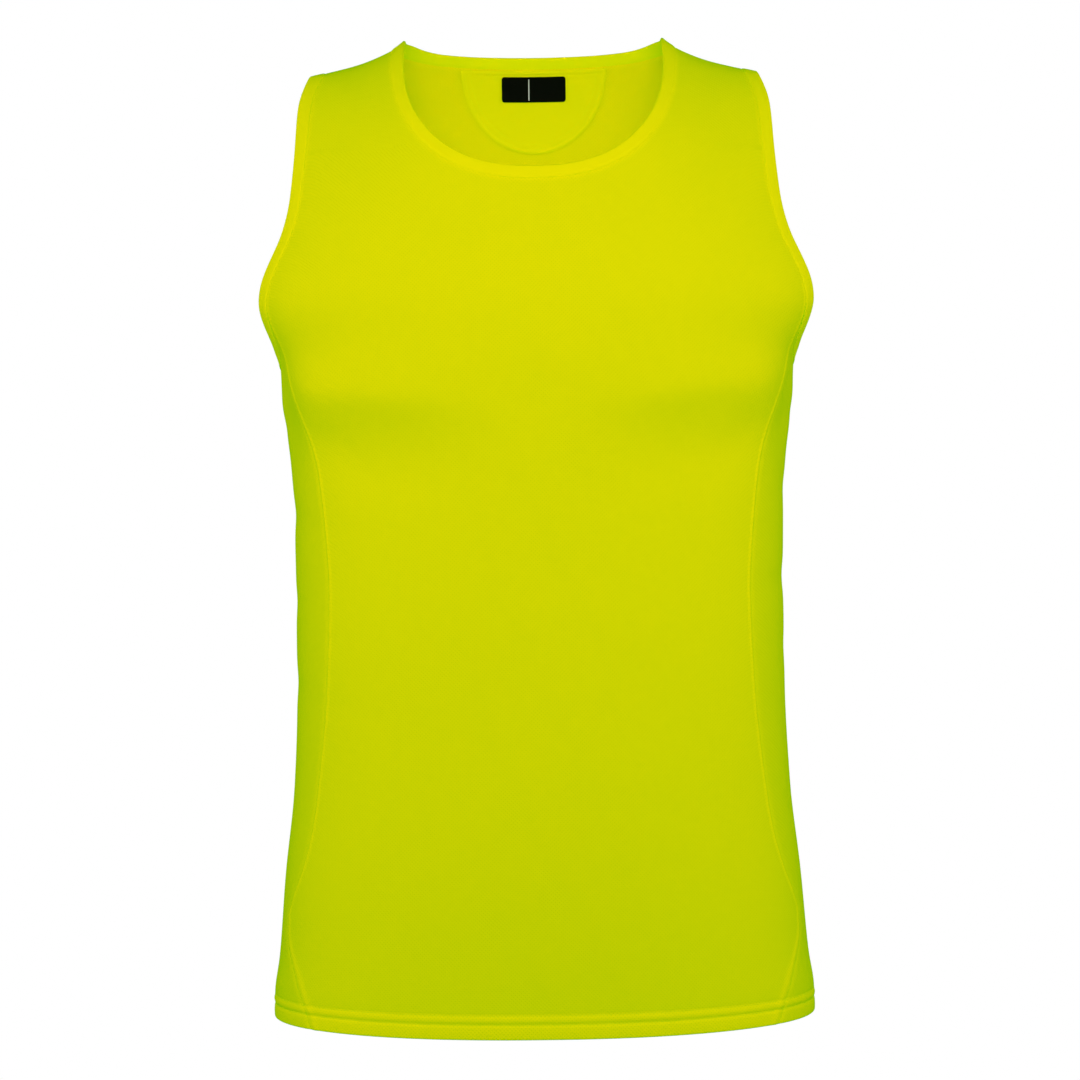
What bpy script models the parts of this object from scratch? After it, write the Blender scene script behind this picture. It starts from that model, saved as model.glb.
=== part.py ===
"""A sleeveless running vest, filled out as it is worn, with nobody in it.

Frame: +X is the wearer's left, +Y the back, +Z up. The origin lies midway between the
shoulders, level with the points where the shoulder seams meet the neck.
Sizes are in millimetres here and become metres when a mesh is made.

The cloth lies on one smooth form. Level rings give its width and depth, and over the
shoulders the rings bend down to a ridge, where the front and back meet. Every piece is
a wall that lies on this form, 0.3 mm apart from the next at each seam.
"""
from collections import namedtuple
import math

import bpy
import numpy as np

MM = 0.001
FRONT = -1.0
BACK = 1.0

# Driving sizes
HEM_Z = -681.9              # the shoulder's neck point down to the hem
HEM_TURN = 17.5             # height of the hem that is turned up inside
HEM_RISE = 2.2              # how much higher the hem is at the sides
HEM_RISE_REACH = 90.0       # height over which the rise of the hem fades out
CLOTH = 1.2                 # wall of one ply
HEM_WALL = 2.2              # wall where the hem is turned up
GAP = 0.3                   # clearance at each seam
ROUNDNESS = 2.3             # exponent of a ring: 2 is an ellipse, more is squarer
ROOF_HEIGHT = 135.0         # height over which the shoulders round off to the ridge

NECK_HALF_WIDTH = 99.2      # neck seam, at the shoulder ridge
FRONT_NECK_DROP = 103.2     # neck seam, from the ridge down to the centre front
BACK_NECK_DROP = 2.2        # neck seam, from the ridge down to the centre back
NECK_CURVE = 2.4            # exponent of the neck's outline
NECK_CORNER = 73.0          # where the bottom of the neck turns up into its sides
NECK_BINDING = 8.8          # width of the neck's binding
NECK_CORNER_SHARE = 0.28    # how much wider it is at the ridge, where its edge turns
NECK_CORNER_REACH = 36.0    # length of seam over which it widens

ARMHOLE_ANGLE = 34.5        # degrees round a ring, from the side to the armhole seam
ARMHOLE_TURN_Z = -112.0     # below this the armhole seam curves in under the arm
ARMHOLE_LOW_Z = -228.3      # lowest point of the armhole seam
ARMHOLE_BINDING = 11.0      # width of an armhole's binding

SIDE_SEAM_TOP_Z = -178.0    # where a side panel's seams run into the armhole

BINDING_RISE = 0.5          # how far a binding stands proud of the panels, on each side
FACING_WALL = 1.0
FACING_CLEARANCE = 0.9      # the facing hangs this far inside the back
FACING_HALF_WIDTH = 53.5    # half-moon facing inside the back neck
FACING_TOP_Z = -7.0
FACING_DEPTH = 57.0
LABEL_WALL = 0.6
LABEL_WIDTH = 47.5          # label on the facing
LABEL_HEIGHT = 17.0
LABEL_TOP_Z = -10.6
LABEL_CLEARANCE = 0.4       # the label lies this far inside the facing
LABEL_CORNER = 2.0

# Rings of the form, from the shoulders down to the hem
Section = namedtuple("Section", "z half_width front_depth back_depth")
SECTIONS = [
    Section(20, 160, 62, 80),
    Section(0, 166, 68, 86),
    Section(-22, 174, 76, 91),
    Section(-46, 182.5, 85, 97),
    Section(-82, 185.5, 95, 105),
    Section(-116, 189.5, 103, 111),
    Section(-142, 195, 108.5, 114),
    Section(-158, 200.5, 111.5, 114.5),
    Section(-174, 204, 114, 114.5),
    Section(-186, 202.5, 115, 114),
    Section(-199, 195, 115.5, 113.5),
    Section(-213, 185, 115.5, 112.5),
    Section(-224, 180, 115, 112),
    Section(-254, 178, 112, 109.5),
    Section(-290, 174, 109, 106),
    Section(-330, 171.5, 107, 102.5),
    Section(-390, 170.8, 105.5, 99),
    Section(-450, 171, 106, 98.5),
    Section(-520, 174, 108, 102),
    Section(-580, 180.5, 110, 107),
    Section(-640, 185.5, 112, 110),
    Section(-664, 189, 112.5, 111),
    Section(-700, 189.5, 113, 111.5),
]

# The shoulder ridge, as seen from the front; inside the neck it only shapes the form
RidgePoint = namedtuple("RidgePoint", "x z")
RIDGE = [
    RidgePoint(-40, 40),
    RidgePoint(0, 48),
    RidgePoint(40, 40),
    RidgePoint(70, 24),
    RidgePoint(81, 13.5),
    RidgePoint(92.5, 0),
    RidgePoint(111, -10),
    RidgePoint(125, -14.9),
    RidgePoint(142, -19),
    RidgePoint(153, -21.4),
    RidgePoint(175, -26.5),
    RidgePoint(210, -35),
]

# Half the width of a side panel, measured from front to back, at each height
SeamPoint = namedtuple("SeamPoint", "z y")
SIDE_SEAM = [
    SeamPoint(-690, 73),
    SeamPoint(-664, 64),
    SeamPoint(-646, 54),
    SeamPoint(-632, 45),
    SeamPoint(-620, 39),
    SeamPoint(-606, 38),
    SeamPoint(-594, 43),
    SeamPoint(-575, 52),
    SeamPoint(-550, 57.5),
    SeamPoint(-514, 60),
    SeamPoint(-460, 63),
    SeamPoint(-390, 65),
    SeamPoint(-330, 62),
    SeamPoint(-281, 57),
    SeamPoint(-253, 52.5),
    SeamPoint(-227, 45),
    SeamPoint(-207, 50),
]

# Soft swells and creases: relief in mm outwards, length and breadth as half-sizes
Fold = namedtuple("Fold", "face x z length breadth angle relief")
FOLDS = [
    Fold(FRONT, 82, -186, 70, 52, 0, 3.2),
    Fold(FRONT, -82, -186, 70, 52, 0, 3.2),
    Fold(FRONT, 0, -205, 80, 26, 90, -1.6),
    Fold(FRONT, 104, -242, 58, 29, 8, 5.0),
    Fold(FRONT, -106, -245, 60, 29, -7, 5.2),
    Fold(FRONT, 148, -240, 20, 27, 0, 3.8),
    Fold(FRONT, -148, -246, 20, 27, 0, 4.0),
    Fold(FRONT, 112, -291, 66, 27, 7, -3.6),
    Fold(FRONT, -114, -294, 68, 27, -6, -3.8),
    Fold(FRONT, 96, -338, 78, 42, 0, -2.0),
    Fold(FRONT, -98, -342, 80, 42, 0, -2.1),
    Fold(BACK, 78, -168, 72, 50, 0, 2.4),
    Fold(BACK, -78, -168, 72, 50, 0, 2.4),
    Fold(BACK, 0, -330, 150, 26, 90, -2.2),
    Fold(BACK, 96, -410, 70, 16, 20, -1.8),
    Fold(BACK, -104, -432, 64, 17, -16, -1.9),
]

# Spacing of the meshes
ROW_STEP = 17.0             # height of a row below the armholes
UPPER_ROWS = 6              # rows from the side seams' top to the neck's corner
SHOULDER_ROWS = 8           # rows from the neck's corner to the shoulder seam
SHOULDER_COLUMNS = 5        # columns across each shoulder
FRONT_NECK_COLUMNS = 14
BACK_NECK_COLUMNS = 16
SIDE_COLUMNS = (0.0, 0.22, 0.43, 0.62, 0.79, 0.91, 1.0)


# ---------------------------------------------------------------- the smooth form

def through(rows, column, by="z", soften=0.0):
    """A smooth curve through one column of a table, rounded over a distance."""
    rows = sorted(rows, key=lambda row: getattr(row, by))
    knots = np.array([getattr(row, by) for row in rows], float)
    values = np.array([getattr(row, column) for row in rows], float)
    step = np.diff(knots)
    rise = np.diff(values) / step
    turns = rise[:-1] * rise[1:] <= 0
    total = np.where(turns, 1.0, rise[:-1] + rise[1:])
    slope = np.concatenate([
        rise[:1],
        np.where(turns, 0.0, 2.0 * rise[:-1] * rise[1:] / total),
        rise[-1:],
    ])

    def exact(at):
        at = np.clip(at, knots[0], knots[-1])
        i = np.clip(np.searchsorted(knots, at, side="right") - 1, 0, len(step) - 1)
        t = (at - knots[i]) / step[i]
        start = (1 + 2 * t) * (1 - t) ** 2 * values[i]
        leave = t * (1 - t) ** 2 * step[i] * slope[i]
        finish = t * t * (3 - 2 * t) * values[i + 1]
        arrive = t * t * (t - 1) * step[i] * slope[i + 1]
        return start + leave + finish + arrive

    def rounded(at):
        shifts = np.linspace(-1, 1, 7)
        weights = 1.1 - np.abs(shifts)
        parts = [w * exact(at + soften * s) for w, s in zip(weights, shifts)]
        return sum(parts) / weights.sum()

    return rounded if soften else exact


half_width = through(SECTIONS, "half_width", soften=9.0)
front_depth = through(SECTIONS, "front_depth", soften=14.0)
back_depth = through(SECTIONS, "back_depth", soften=14.0)
ridge_height = through(RIDGE, "z", by="x", soften=5.0)


def depth(z, y):
    """Depth of the ring at height z, on the side of the form where y lies."""
    return np.where(y < 0, front_depth(z), back_depth(z))


def roof(x, z):
    """Share of the ring's depth that is left under the shoulder ridge."""
    drop = np.clip((ridge_height(np.abs(x)) - z) / ROOF_HEIGHT, 0.0, 1.0)
    return np.sqrt(drop * (2.0 - drop))


def side_fade(x, z):
    """Share of the ring's depth that is left towards its sides."""
    across = np.clip(np.abs(x) / half_width(z), 0.0, 1.0)
    return (1.0 - across ** ROUNDNESS) ** (1.0 / ROUNDNESS)


def on_face(x, z, face):
    """Points of the form at x and z on the front or back."""
    x, z = np.broadcast_arrays(np.asarray(x, float), np.asarray(z, float))
    y = face * depth(z, np.full(z.shape, face)) * roof(x, z) * side_fade(x, z)
    return np.stack([x, y, z], axis=-1)


def on_side(y, z, side):
    """Points of the form at y and z on the wearer's left (+1) or right (-1)."""
    y, z = np.broadcast_arrays(np.asarray(y, float), np.asarray(z, float))
    along = np.clip(np.abs(y) / depth(z, y), 0.0, 1.0)
    x = side * half_width(z) * (1.0 - along ** ROUNDNESS) ** (1.0 / ROUNDNESS)
    return np.stack([x, y, z], axis=-1)


def on_ring(angle, z, side, face):
    """Points of the form at an angle round a ring, from the side to the centre."""
    x = half_width(z) * np.cos(np.radians(angle)) ** (2.0 / ROUNDNESS)
    return on_face(side * x, z, face)


def beyond(points):
    """How far points lie outside the form, as a value that is 0 on it."""
    x, y, z = points[..., 0], points[..., 1], points[..., 2]
    across = np.abs(x) / half_width(z)
    along = np.abs(y) / depth(z, y)
    below_roof = ridge_height(np.abs(x)) - z >= ROOF_HEIGHT
    ring = across ** ROUNDNESS + along ** ROUNDNESS - 1.0
    roofed = along ** 2 - (roof(x, z) * side_fade(x, z)) ** 2
    return np.where(below_roof, ring, roofed)


def slope_of_form(points):
    """Gradient of beyond(), by small steps each way."""
    reach = 0.02
    columns = []
    for axis in range(3):
        step = np.zeros(3)
        step[axis] = reach
        change = beyond(points + step) - beyond(points - step)
        columns.append(change / (2 * reach))
    return np.stack(columns, axis=-1)


def unit(vectors):
    return vectors / np.linalg.norm(vectors, axis=-1, keepdims=True)


def outward(points):
    """Unit normals of the form."""
    return unit(slope_of_form(points))


def back_on_form(points):
    """Points moved square to the form until they lie on it."""
    for _ in range(4):
        slope = slope_of_form(points)
        miss = beyond(points)[..., None]
        points = points - slope * miss / (slope ** 2).sum(axis=-1, keepdims=True)
    return points


def relief(points):
    """Height of the swells and creases at points of the form."""
    x, y, z = points[..., 0], points[..., 1], points[..., 2]
    height = np.zeros(x.shape)
    for fold in FOLDS:
        facing = np.clip(fold.face * y / 70.0, 0.0, 1.0)
        facing = facing * facing * (3.0 - 2.0 * facing)
        turn = math.radians(fold.angle)
        right, up = x - fold.x, z - fold.z
        along = (right * math.cos(turn) + up * math.sin(turn)) / fold.length
        across = (up * math.cos(turn) - right * math.sin(turn)) / fold.breadth
        height += fold.relief * facing * np.exp(-along ** 2 - across ** 2)
    return height


def slide(points, towards, distance):
    """Points moved over the form by a distance, in the direction given."""
    steps = 3
    for _ in range(steps):
        normal = outward(points)
        level = towards - normal * (towards * normal).sum(axis=-1, keepdims=True)
        points = back_on_form(points + unit(level) * distance / steps)
    return points


# ---------------------------------------------------------------- walls and bands

def fabric(name, color, roughness=0.85):
    material = bpy.data.materials.new(name)
    material.use_nodes = True
    shader = material.node_tree.nodes["Principled BSDF"]
    shader.inputs["Base Color"].default_value = (*color, 1.0)
    shader.inputs["Roughness"].default_value = roughness
    shader.inputs["Metallic"].default_value = 0.0
    return material


def hem_curved(points):
    """Points with the hem lifted towards the sides."""
    share = np.clip(1.0 - (points[:, 2] - HEM_Z) / HEM_RISE_REACH, 0.0, 1.0)
    lifted = points.copy()
    lifted[:, 2] += HEM_RISE * (points[:, 0] / SECTIONS[-1].half_width) ** 2 * share ** 2
    return lifted


def new_object(name, vertices, faces, material):
    mesh = bpy.data.meshes.new(name)
    mesh.from_pydata((hem_curved(vertices) * MM).tolist(), [], faces)
    mesh.shade_smooth()
    mesh.set_sharp_from_angle(angle=math.radians(40))
    mesh.materials.append(material)
    obj = bpy.data.objects.new(name, mesh)
    bpy.context.collection.objects.link(obj)


class Sheet:
    """Points on the form, with the quads between them."""

    def __init__(self):
        self.points = np.zeros((0, 3))
        self.faces = []

    def add(self, grid):
        """Adds a grid of points, and gives the numbers that they get."""
        first = len(self.points)
        self.points = np.vstack([self.points, grid.reshape(-1, 3)])
        return np.arange(first, len(self.points)).reshape(grid.shape[:-1])

    def fill(self, index):
        """Lays quads over a grid of point numbers."""
        for low, high in zip(index[:-1], index[1:]):
            for k in range(len(low) - 1):
                self.faces.append([int(low[k]), int(low[k + 1]), int(high[k + 1]), int(high[k])])

    def face_out(self):
        """Turns the faces over if they look into the form."""
        corners = self.points[self.faces[0]]
        across = np.cross(corners[1] - corners[0], corners[2] - corners[0])
        if np.dot(across, outward(corners[:1])[0]) < 0:
            self.faces = [face[::-1] for face in self.faces]


def border(faces):
    """The edges that one face alone has, in the direction in which it runs."""
    edges = {edge for face in faces for edge in zip(face, face[1:] + face[:1])}
    return sorted(edge for edge in edges if edge[::-1] not in edges)


def drawn_in(points, faces, distance):
    """The points, with the sheet's border moved in over the form by a distance."""
    normal = outward(points)
    leaving, arriving = {}, {}
    for start, end in border(faces):
        inward = unit(np.cross(normal[start] + normal[end], points[end] - points[start]))
        leaving[start] = inward
        arriving[end] = inward
    moved = points.copy()
    for index, one in leaving.items():
        other = arriving[index]
        moved[index] += distance * (one + other) / (1.0 + np.dot(one, other))
    return moved


def wall(name, sheet, material, thickness, lift=0.0):
    """A closed wall whose outer skin is the sheet, moved out by lift."""
    sheet.face_out()
    points = drawn_in(sheet.points, sheet.faces, GAP / 2)
    normal = outward(points)
    outer = points + normal * (relief(points) + lift)[:, None]
    inner = outer - normal * np.broadcast_to(thickness, len(points))[:, None]
    count = len(points)
    inside = [[corner + count for corner in reversed(face)] for face in sheet.faces]
    rim = [[end, start, start + count, end + count] for start, end in border(sheet.faces)]
    new_object(name, np.vstack([outer, inner]), sheet.faces + inside + rim, material)


def binding(name, seam, width, material):
    """A closed band round an opening, from the seam's points to the free edge."""
    width = np.broadcast_to(width, len(seam))
    profile = (             # share of the width, height over the form
        (0.0, BINDING_RISE),
        (0.5, BINDING_RISE),
        (0.9, BINDING_RISE * 0.9),
        (0.985, -0.1),
        (1.0, -CLOTH / 2),
        (0.985, -CLOTH + 0.1),
        (0.9, -CLOTH - BINDING_RISE * 0.9),
        (0.5, -CLOTH - BINDING_RISE),
        (0.0, -CLOTH - BINDING_RISE),
    )
    ahead = np.roll(seam, -1, axis=0) - np.roll(seam, 1, axis=0)
    towards = np.cross(outward(seam), ahead)
    middle = seam.mean(axis=0)
    if ((middle - seam) * towards).sum() < 0:
        towards = -towards
    start = slide(seam, towards, GAP / 2)
    rows = []
    for share, height in profile:
        points = slide(start, towards, width[:, None] * share) if share else start
        rows.append(points + outward(points) * (relief(points) + height)[:, None])
    vertices = np.stack(rows, axis=1)
    sections, corners = vertices.shape[:2]
    number = np.arange(sections * corners).reshape(sections, corners)
    faces = []
    for i in range(sections):
        here, there = number[i], number[(i + 1) % sections]
        for k in range(corners):
            turn = (k + 1) % corners
            faces.append([int(here[k]), int(there[k]), int(there[turn]), int(here[turn])])
    flat = vertices.reshape(-1, 3)
    quad = flat[faces[0]]
    if np.dot(np.cross(quad[1] - quad[0], quad[2] - quad[0]), outward(quad[:1])[0]) < 0:
        faces = [face[::-1] for face in faces]
    new_object(name, flat, faces, material)


# ---------------------------------------------------------------- the cut of the pieces

def armhole_angle(z):
    """Angle of the armhole seam round the ring at height z."""
    turned = np.clip((ARMHOLE_TURN_Z - z) / (ARMHOLE_TURN_Z - ARMHOLE_LOW_Z), 0.0, 1.0)
    return ARMHOLE_ANGLE * np.sqrt(1.0 - turned ** 2)


def armhole_point(z, side, face):
    return on_ring(armhole_angle(z), z, side, face)


def armhole_height(y):
    """Height of the armhole seam under the arm, at a place between front and back."""
    z = np.full(np.shape(y), ARMHOLE_LOW_Z)
    for _ in range(12):
        share = np.clip(np.abs(y) / depth(z, y), 0.0, 1.0)
        angle = np.degrees(np.arcsin(share ** (ROUNDNESS / 2.0)))
        turned = np.sqrt(np.clip(1.0 - (angle / ARMHOLE_ANGLE) ** 2, 0.0, 1.0))
        z = ARMHOLE_TURN_Z - turned * (ARMHOLE_TURN_Z - ARMHOLE_LOW_Z)
    return z


def shoulder_end():
    """Height at which the armhole seam crosses the shoulder ridge."""
    z = -20.0
    for _ in range(20):
        z = float(ridge_height(armhole_point(z, 1, BACK)[0]))
    return z


NECK_TOP_Z = float(ridge_height(NECK_HALF_WIDTH))


def neck_height(x, drop):
    """Height of the neck seam at a distance from the centre line."""
    share = np.clip(np.abs(x) / NECK_HALF_WIDTH, 0.0, 1.0)
    return NECK_TOP_Z - drop * (1.0 - share ** NECK_CURVE) ** (1.0 / NECK_CURVE)


def neck_reach(z, drop):
    """Distance of the neck seam from the centre line at height z."""
    share = np.clip((NECK_TOP_Z - z) / drop, 0.0, 1.0)
    return NECK_HALF_WIDTH * (1.0 - share ** NECK_CURVE) ** (1.0 / NECK_CURVE)


def neck_widths(seam):
    """Width of the neck's binding at its seam's points, wider at the shoulder ridge."""
    away = np.hypot(np.abs(seam[:, 0]) - NECK_HALF_WIDTH, seam[:, 2] - NECK_TOP_Z)
    away = np.hypot(away, seam[:, 1])
    return NECK_BINDING * (1.0 + NECK_CORNER_SHARE * np.exp(-(away / NECK_CORNER_REACH) ** 2))


SHOULDER_END_Z = shoulder_end()
SHOULDER_END_X = float(armhole_point(SHOULDER_END_Z, 1, BACK)[0])
YOKE_Z = float(neck_height(NECK_CORNER, FRONT_NECK_DROP))


def seam_levels():
    """Heights of the rows from the hem to the top of the side seams."""
    turn_up = HEM_Z + HEM_TURN
    rows = round((SIDE_SEAM_TOP_Z - turn_up) / ROW_STEP)
    upper = np.linspace(turn_up + 0.5, SIDE_SEAM_TOP_Z, rows + 1)
    return np.concatenate([[HEM_Z, turn_up - 0.5], upper])


SEAM_LEVELS = seam_levels()
ARMHOLE_LEVELS = np.linspace(SIDE_SEAM_TOP_Z, YOKE_Z, UPPER_ROWS + 1)[1:]
SHOULDER_SHARES = np.sin(np.linspace(0.0, math.pi / 2, SHOULDER_ROWS + 1))[1:]


def seam_reach(face):
    """Half the width of a side panel on one face, as a function of height."""
    top = armhole_point(SIDE_SEAM_TOP_Z, 1, face)
    rows = SIDE_SEAM + [SeamPoint(SIDE_SEAM_TOP_Z, abs(float(top[1])))]
    return through(rows, "y")


def panel_edge(face):
    """Half the width of the front or back at each of its levels up to the yoke."""
    seam = on_side(face * seam_reach(face)(SEAM_LEVELS), SEAM_LEVELS, 1)[:, 0]
    armhole = armhole_point(ARMHOLE_LEVELS, 1, face)[:, 0]
    return np.concatenate([seam, armhole])


def lower_part(sheet, face, shares, dip):
    """Fills a panel from the hem to the yoke; dip lowers the yoke's middle columns."""
    levels = np.concatenate([SEAM_LEVELS, ARMHOLE_LEVELS])
    reach = 150.0
    fade = np.clip((levels - (YOKE_Z - reach)) / reach, 0.0, 1.0) ** 2
    x = panel_edge(face)[:, None] * shares[None, :]
    z = levels[:, None] + fade[:, None] * dip[None, :]
    index = sheet.add(on_face(x, z, face))
    sheet.fill(index)
    return index


def upper_part(sheet, face, yoke, low_shares, top_x, top_z):
    """Fills a panel from a stretch of the yoke to its top edge."""
    rows = [yoke]
    for share in SHOULDER_SHARES:
        z = YOKE_Z + share * (top_z - YOKE_Z)
        edge_z = YOKE_Z + share * (SHOULDER_END_Z - YOKE_Z)
        edge_x = float(armhole_point(edge_z, 1, face)[0])
        across = (1.0 - share) * low_shares + share * top_x / SHOULDER_END_X
        rows.append(sheet.add(on_face(edge_x * across, z, face)))
    index = np.stack(rows)
    sheet.fill(index)
    return index


def strap_part(sheet, yoke, side):
    """Fills one front shoulder, between the neck's side and the armhole."""
    across = np.linspace(0.0, 1.0, SHOULDER_COLUMNS + 1)
    top_x = NECK_HALF_WIDTH + across * (SHOULDER_END_X - NECK_HALF_WIDTH)
    top_z = ridge_height(top_x)
    rows = [yoke]
    for share in SHOULDER_SHARES:
        z = YOKE_Z + share * (top_z - YOKE_Z)
        inner_x = float(neck_reach(z[0], FRONT_NECK_DROP))
        outer_x = float(armhole_point(z[-1], 1, FRONT)[0])
        x = inner_x + across * (outer_x - inner_x)
        rows.append(sheet.add(on_face(side * x, z, FRONT)))
    index = np.stack(rows)
    sheet.fill(index[:, ::side])
    return index


def front_sheet():
    """The front's sheet, with the point numbers along its neck and armholes."""
    sheet = Sheet()
    yoke_x = float(armhole_point(YOKE_Z, 1, FRONT)[0])
    corner = NECK_CORNER / yoke_x
    spread = math.radians(70)           # brings the columns closer towards the corners
    middle = np.sin(np.linspace(-spread, spread, FRONT_NECK_COLUMNS + 1))
    middle *= corner / math.sin(spread)
    outer = np.linspace(corner, 1.0, SHOULDER_COLUMNS + 1)[1:]
    shares = np.concatenate([-outer[::-1], middle, outer])
    dip = np.minimum(neck_height(shares * yoke_x, FRONT_NECK_DROP) - YOKE_Z, 0.0)
    body = lower_part(sheet, FRONT, shares, dip)
    right = strap_part(sheet, body[-1, SHOULDER_COLUMNS::-1], -1)
    left = strap_part(sheet, body[-1, -SHOULDER_COLUMNS - 1:], 1)
    neck = np.concatenate([
        right[:0:-1, 0],
        body[-1, SHOULDER_COLUMNS:-SHOULDER_COLUMNS],
        left[1:, 0],
    ])
    start = len(SEAM_LEVELS) - 1
    armholes = {
        -1: np.concatenate([body[start:, 0], right[1:, -1]]),
        1: np.concatenate([body[start:, -1], left[1:, -1]]),
    }
    return sheet, neck, armholes


def back_sheet():
    """The back's sheet, with the point numbers along its neck and armholes."""
    sheet = Sheet()
    neck_x = NECK_HALF_WIDTH * np.sin(np.linspace(-1, 1, BACK_NECK_COLUMNS + 1) * math.pi / 2)
    shoulder = np.linspace(NECK_HALF_WIDTH, SHOULDER_END_X, SHOULDER_COLUMNS + 1)[1:]
    top_x = np.concatenate([-shoulder[::-1], neck_x, shoulder])
    on_neck = np.abs(top_x) <= NECK_HALF_WIDTH
    top_z = np.where(on_neck, neck_height(top_x, BACK_NECK_DROP), ridge_height(np.abs(top_x)))
    shares = top_x / SHOULDER_END_X
    shares = 0.5 * (shares + np.linspace(-1, 1, len(shares)))
    body = lower_part(sheet, BACK, shares, np.zeros(len(shares)))
    top = upper_part(sheet, BACK, body[-1], shares, top_x, top_z)
    start = len(SEAM_LEVELS) - 1
    neck = top[-1, SHOULDER_COLUMNS:-SHOULDER_COLUMNS]
    armholes = {
        -1: np.concatenate([body[start:, 0], top[1:, 0]]),
        1: np.concatenate([body[start:, -1], top[1:, -1]]),
    }
    return sheet, neck, armholes


def side_sheet(side):
    """A side panel's sheet, with the point numbers along the armhole."""
    sheet = Sheet()
    shares = np.array([-s for s in SIDE_COLUMNS[:0:-1]] + list(SIDE_COLUMNS))
    faces = np.where(shares < 0, FRONT, BACK)
    reach = {face: seam_reach(face) for face in (FRONT, BACK)}
    top_y = np.array([s * reach[f](SIDE_SEAM_TOP_Z) for s, f in zip(shares, faces)])
    fall = armhole_height(top_y) - SIDE_SEAM_TOP_Z
    fall[[0, -1]] = 0.0
    span = 170.0
    fade = np.clip((SEAM_LEVELS - (SIDE_SEAM_TOP_Z - span)) / span, 0.0, 1.0) ** 2
    width = np.where(shares < 0, reach[FRONT](SEAM_LEVELS)[:, None],
                     reach[BACK](SEAM_LEVELS)[:, None])
    y = width * shares
    z = SEAM_LEVELS[:, None] + fade[:, None] * fall
    index = sheet.add(on_side(y, z, side))
    sheet.fill(index)
    return sheet, index[-1]


def patch_sheet(outline, middle, rings):
    """A sheet on the back within an outline of x and z, as rings round its middle."""
    sheet = Sheet()
    centre = sheet.add(on_face(middle[0], middle[1], BACK)[None])
    shares = np.arange(1, rings + 1) / rings
    plan = middle + shares[:, None, None] * (outline - middle)
    index = sheet.add(on_face(plan[..., 0], plan[..., 1], BACK))
    closed = np.concatenate([index, index[:, :1]], axis=1)
    sheet.fill(closed)
    for one, two in zip(closed[0][:-1], closed[0][1:]):
        sheet.faces.append([int(centre[0]), int(two), int(one)])
    return sheet


def half_moon():
    """Outline of the facing: a straight top and a round lower edge."""
    turn = np.linspace(0.0, math.pi, 27)
    round_edge = np.stack([
        FACING_HALF_WIDTH * np.cos(turn),
        FACING_TOP_Z - FACING_DEPTH * np.sin(turn),
    ], axis=-1)
    top_x = np.linspace(-FACING_HALF_WIDTH, FACING_HALF_WIDTH, 13)[1:-1]
    top = np.stack([top_x, np.full(top_x.shape, FACING_TOP_Z)], axis=-1)
    return np.concatenate([round_edge, top])


def rounded_rectangle():
    """Outline of the label."""
    points = []
    corner_x = LABEL_WIDTH / 2 - LABEL_CORNER
    low, high = LABEL_TOP_Z - LABEL_HEIGHT + LABEL_CORNER, LABEL_TOP_Z - LABEL_CORNER
    for x, z, start in ((corner_x, high, 0), (-corner_x, high, 90),
                        (-corner_x, low, 180), (corner_x, low, 270)):
        for turn in np.radians([start, start + 30, start + 60, start + 90]):
            points.append((x + LABEL_CORNER * math.cos(turn), z + LABEL_CORNER * math.sin(turn)))
        if start in (0, 180):
            middle_x = np.linspace(x, -x, 7)[1:-1]
            points += [(across, points[-1][1]) for across in middle_x]
    return np.array(points)


# ---------------------------------------------------------------- the vest

def build_vest():
    yellow = fabric("mesh_knit", (0.60, 0.65, 0.01))
    yellow_side = fabric("mesh_knit_side", (0.44, 0.60, 0.01))
    trim = fabric("binding_knit", (0.72, 0.70, 0.01), 0.8)
    black = fabric("label_film", (0.01, 0.01, 0.012), 0.5)

    front, front_neck, front_armholes = front_sheet()
    back, back_neck, back_armholes = back_sheet()
    sides = {1: side_sheet(1), -1: side_sheet(-1)}
    neck_seam = np.concatenate([
        front.points[front_neck],
        back.points[back_neck[-2:0:-1]],
    ])

    for name, sheet in (("front_panel", front), ("back_panel", back)):
        thickness = np.where(sheet.points[:, 2] < HEM_Z + HEM_TURN, HEM_WALL, CLOTH)
        wall(name, sheet, yellow, thickness)
    binding("neck_binding", neck_seam, neck_widths(neck_seam), trim)

    for side, word in ((1, "left"), (-1, "right")):
        sheet, top = sides[side]
        thickness = np.where(sheet.points[:, 2] < HEM_Z + HEM_TURN, HEM_WALL, CLOTH)
        armhole_seam = np.concatenate([
            front.points[front_armholes[side][::-1]],
            sheet.points[top[1:-1]],
            back.points[back_armholes[side][:-1]],
        ])
        wall("side_panel_" + word, sheet, yellow_side, thickness)
        binding("armhole_binding_" + word, armhole_seam, ARMHOLE_BINDING, trim)

    facing_middle = np.array([0.0, FACING_TOP_Z - FACING_DEPTH * 0.45])
    facing = patch_sheet(half_moon(), facing_middle, 5)
    facing_lift = -CLOTH - FACING_CLEARANCE
    wall("neck_facing", facing, trim, FACING_WALL, lift=facing_lift)
    label_middle = np.array([0.0, LABEL_TOP_Z - LABEL_HEIGHT / 2])
    label = patch_sheet(rounded_rectangle(), label_middle, 2)
    wall("label", label, black, LABEL_WALL, lift=facing_lift - FACING_WALL - LABEL_CLEARANCE)


for old in list(bpy.data.objects):
    bpy.data.objects.remove(old, do_unlink=True)
build_vest()
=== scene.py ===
"""A sleeveless running vest in fluorescent yellow mesh knit, filled out as it is worn.

Frame: +X is the wearer's left, +Y the back, +Z up. The origin lies midway between the
shoulders, level with the points where the shoulder seams meet the neck.
Sizes are in millimetres here and become metres when a mesh is made.

The cloth lies on one smooth form: level rings that bend down to a ridge over the
shoulders. Each piece is a thin shell on this form that carries its creases and sewing.
"""
from collections import namedtuple
import math

import bpy
import numpy as np
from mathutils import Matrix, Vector, kdtree


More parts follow.
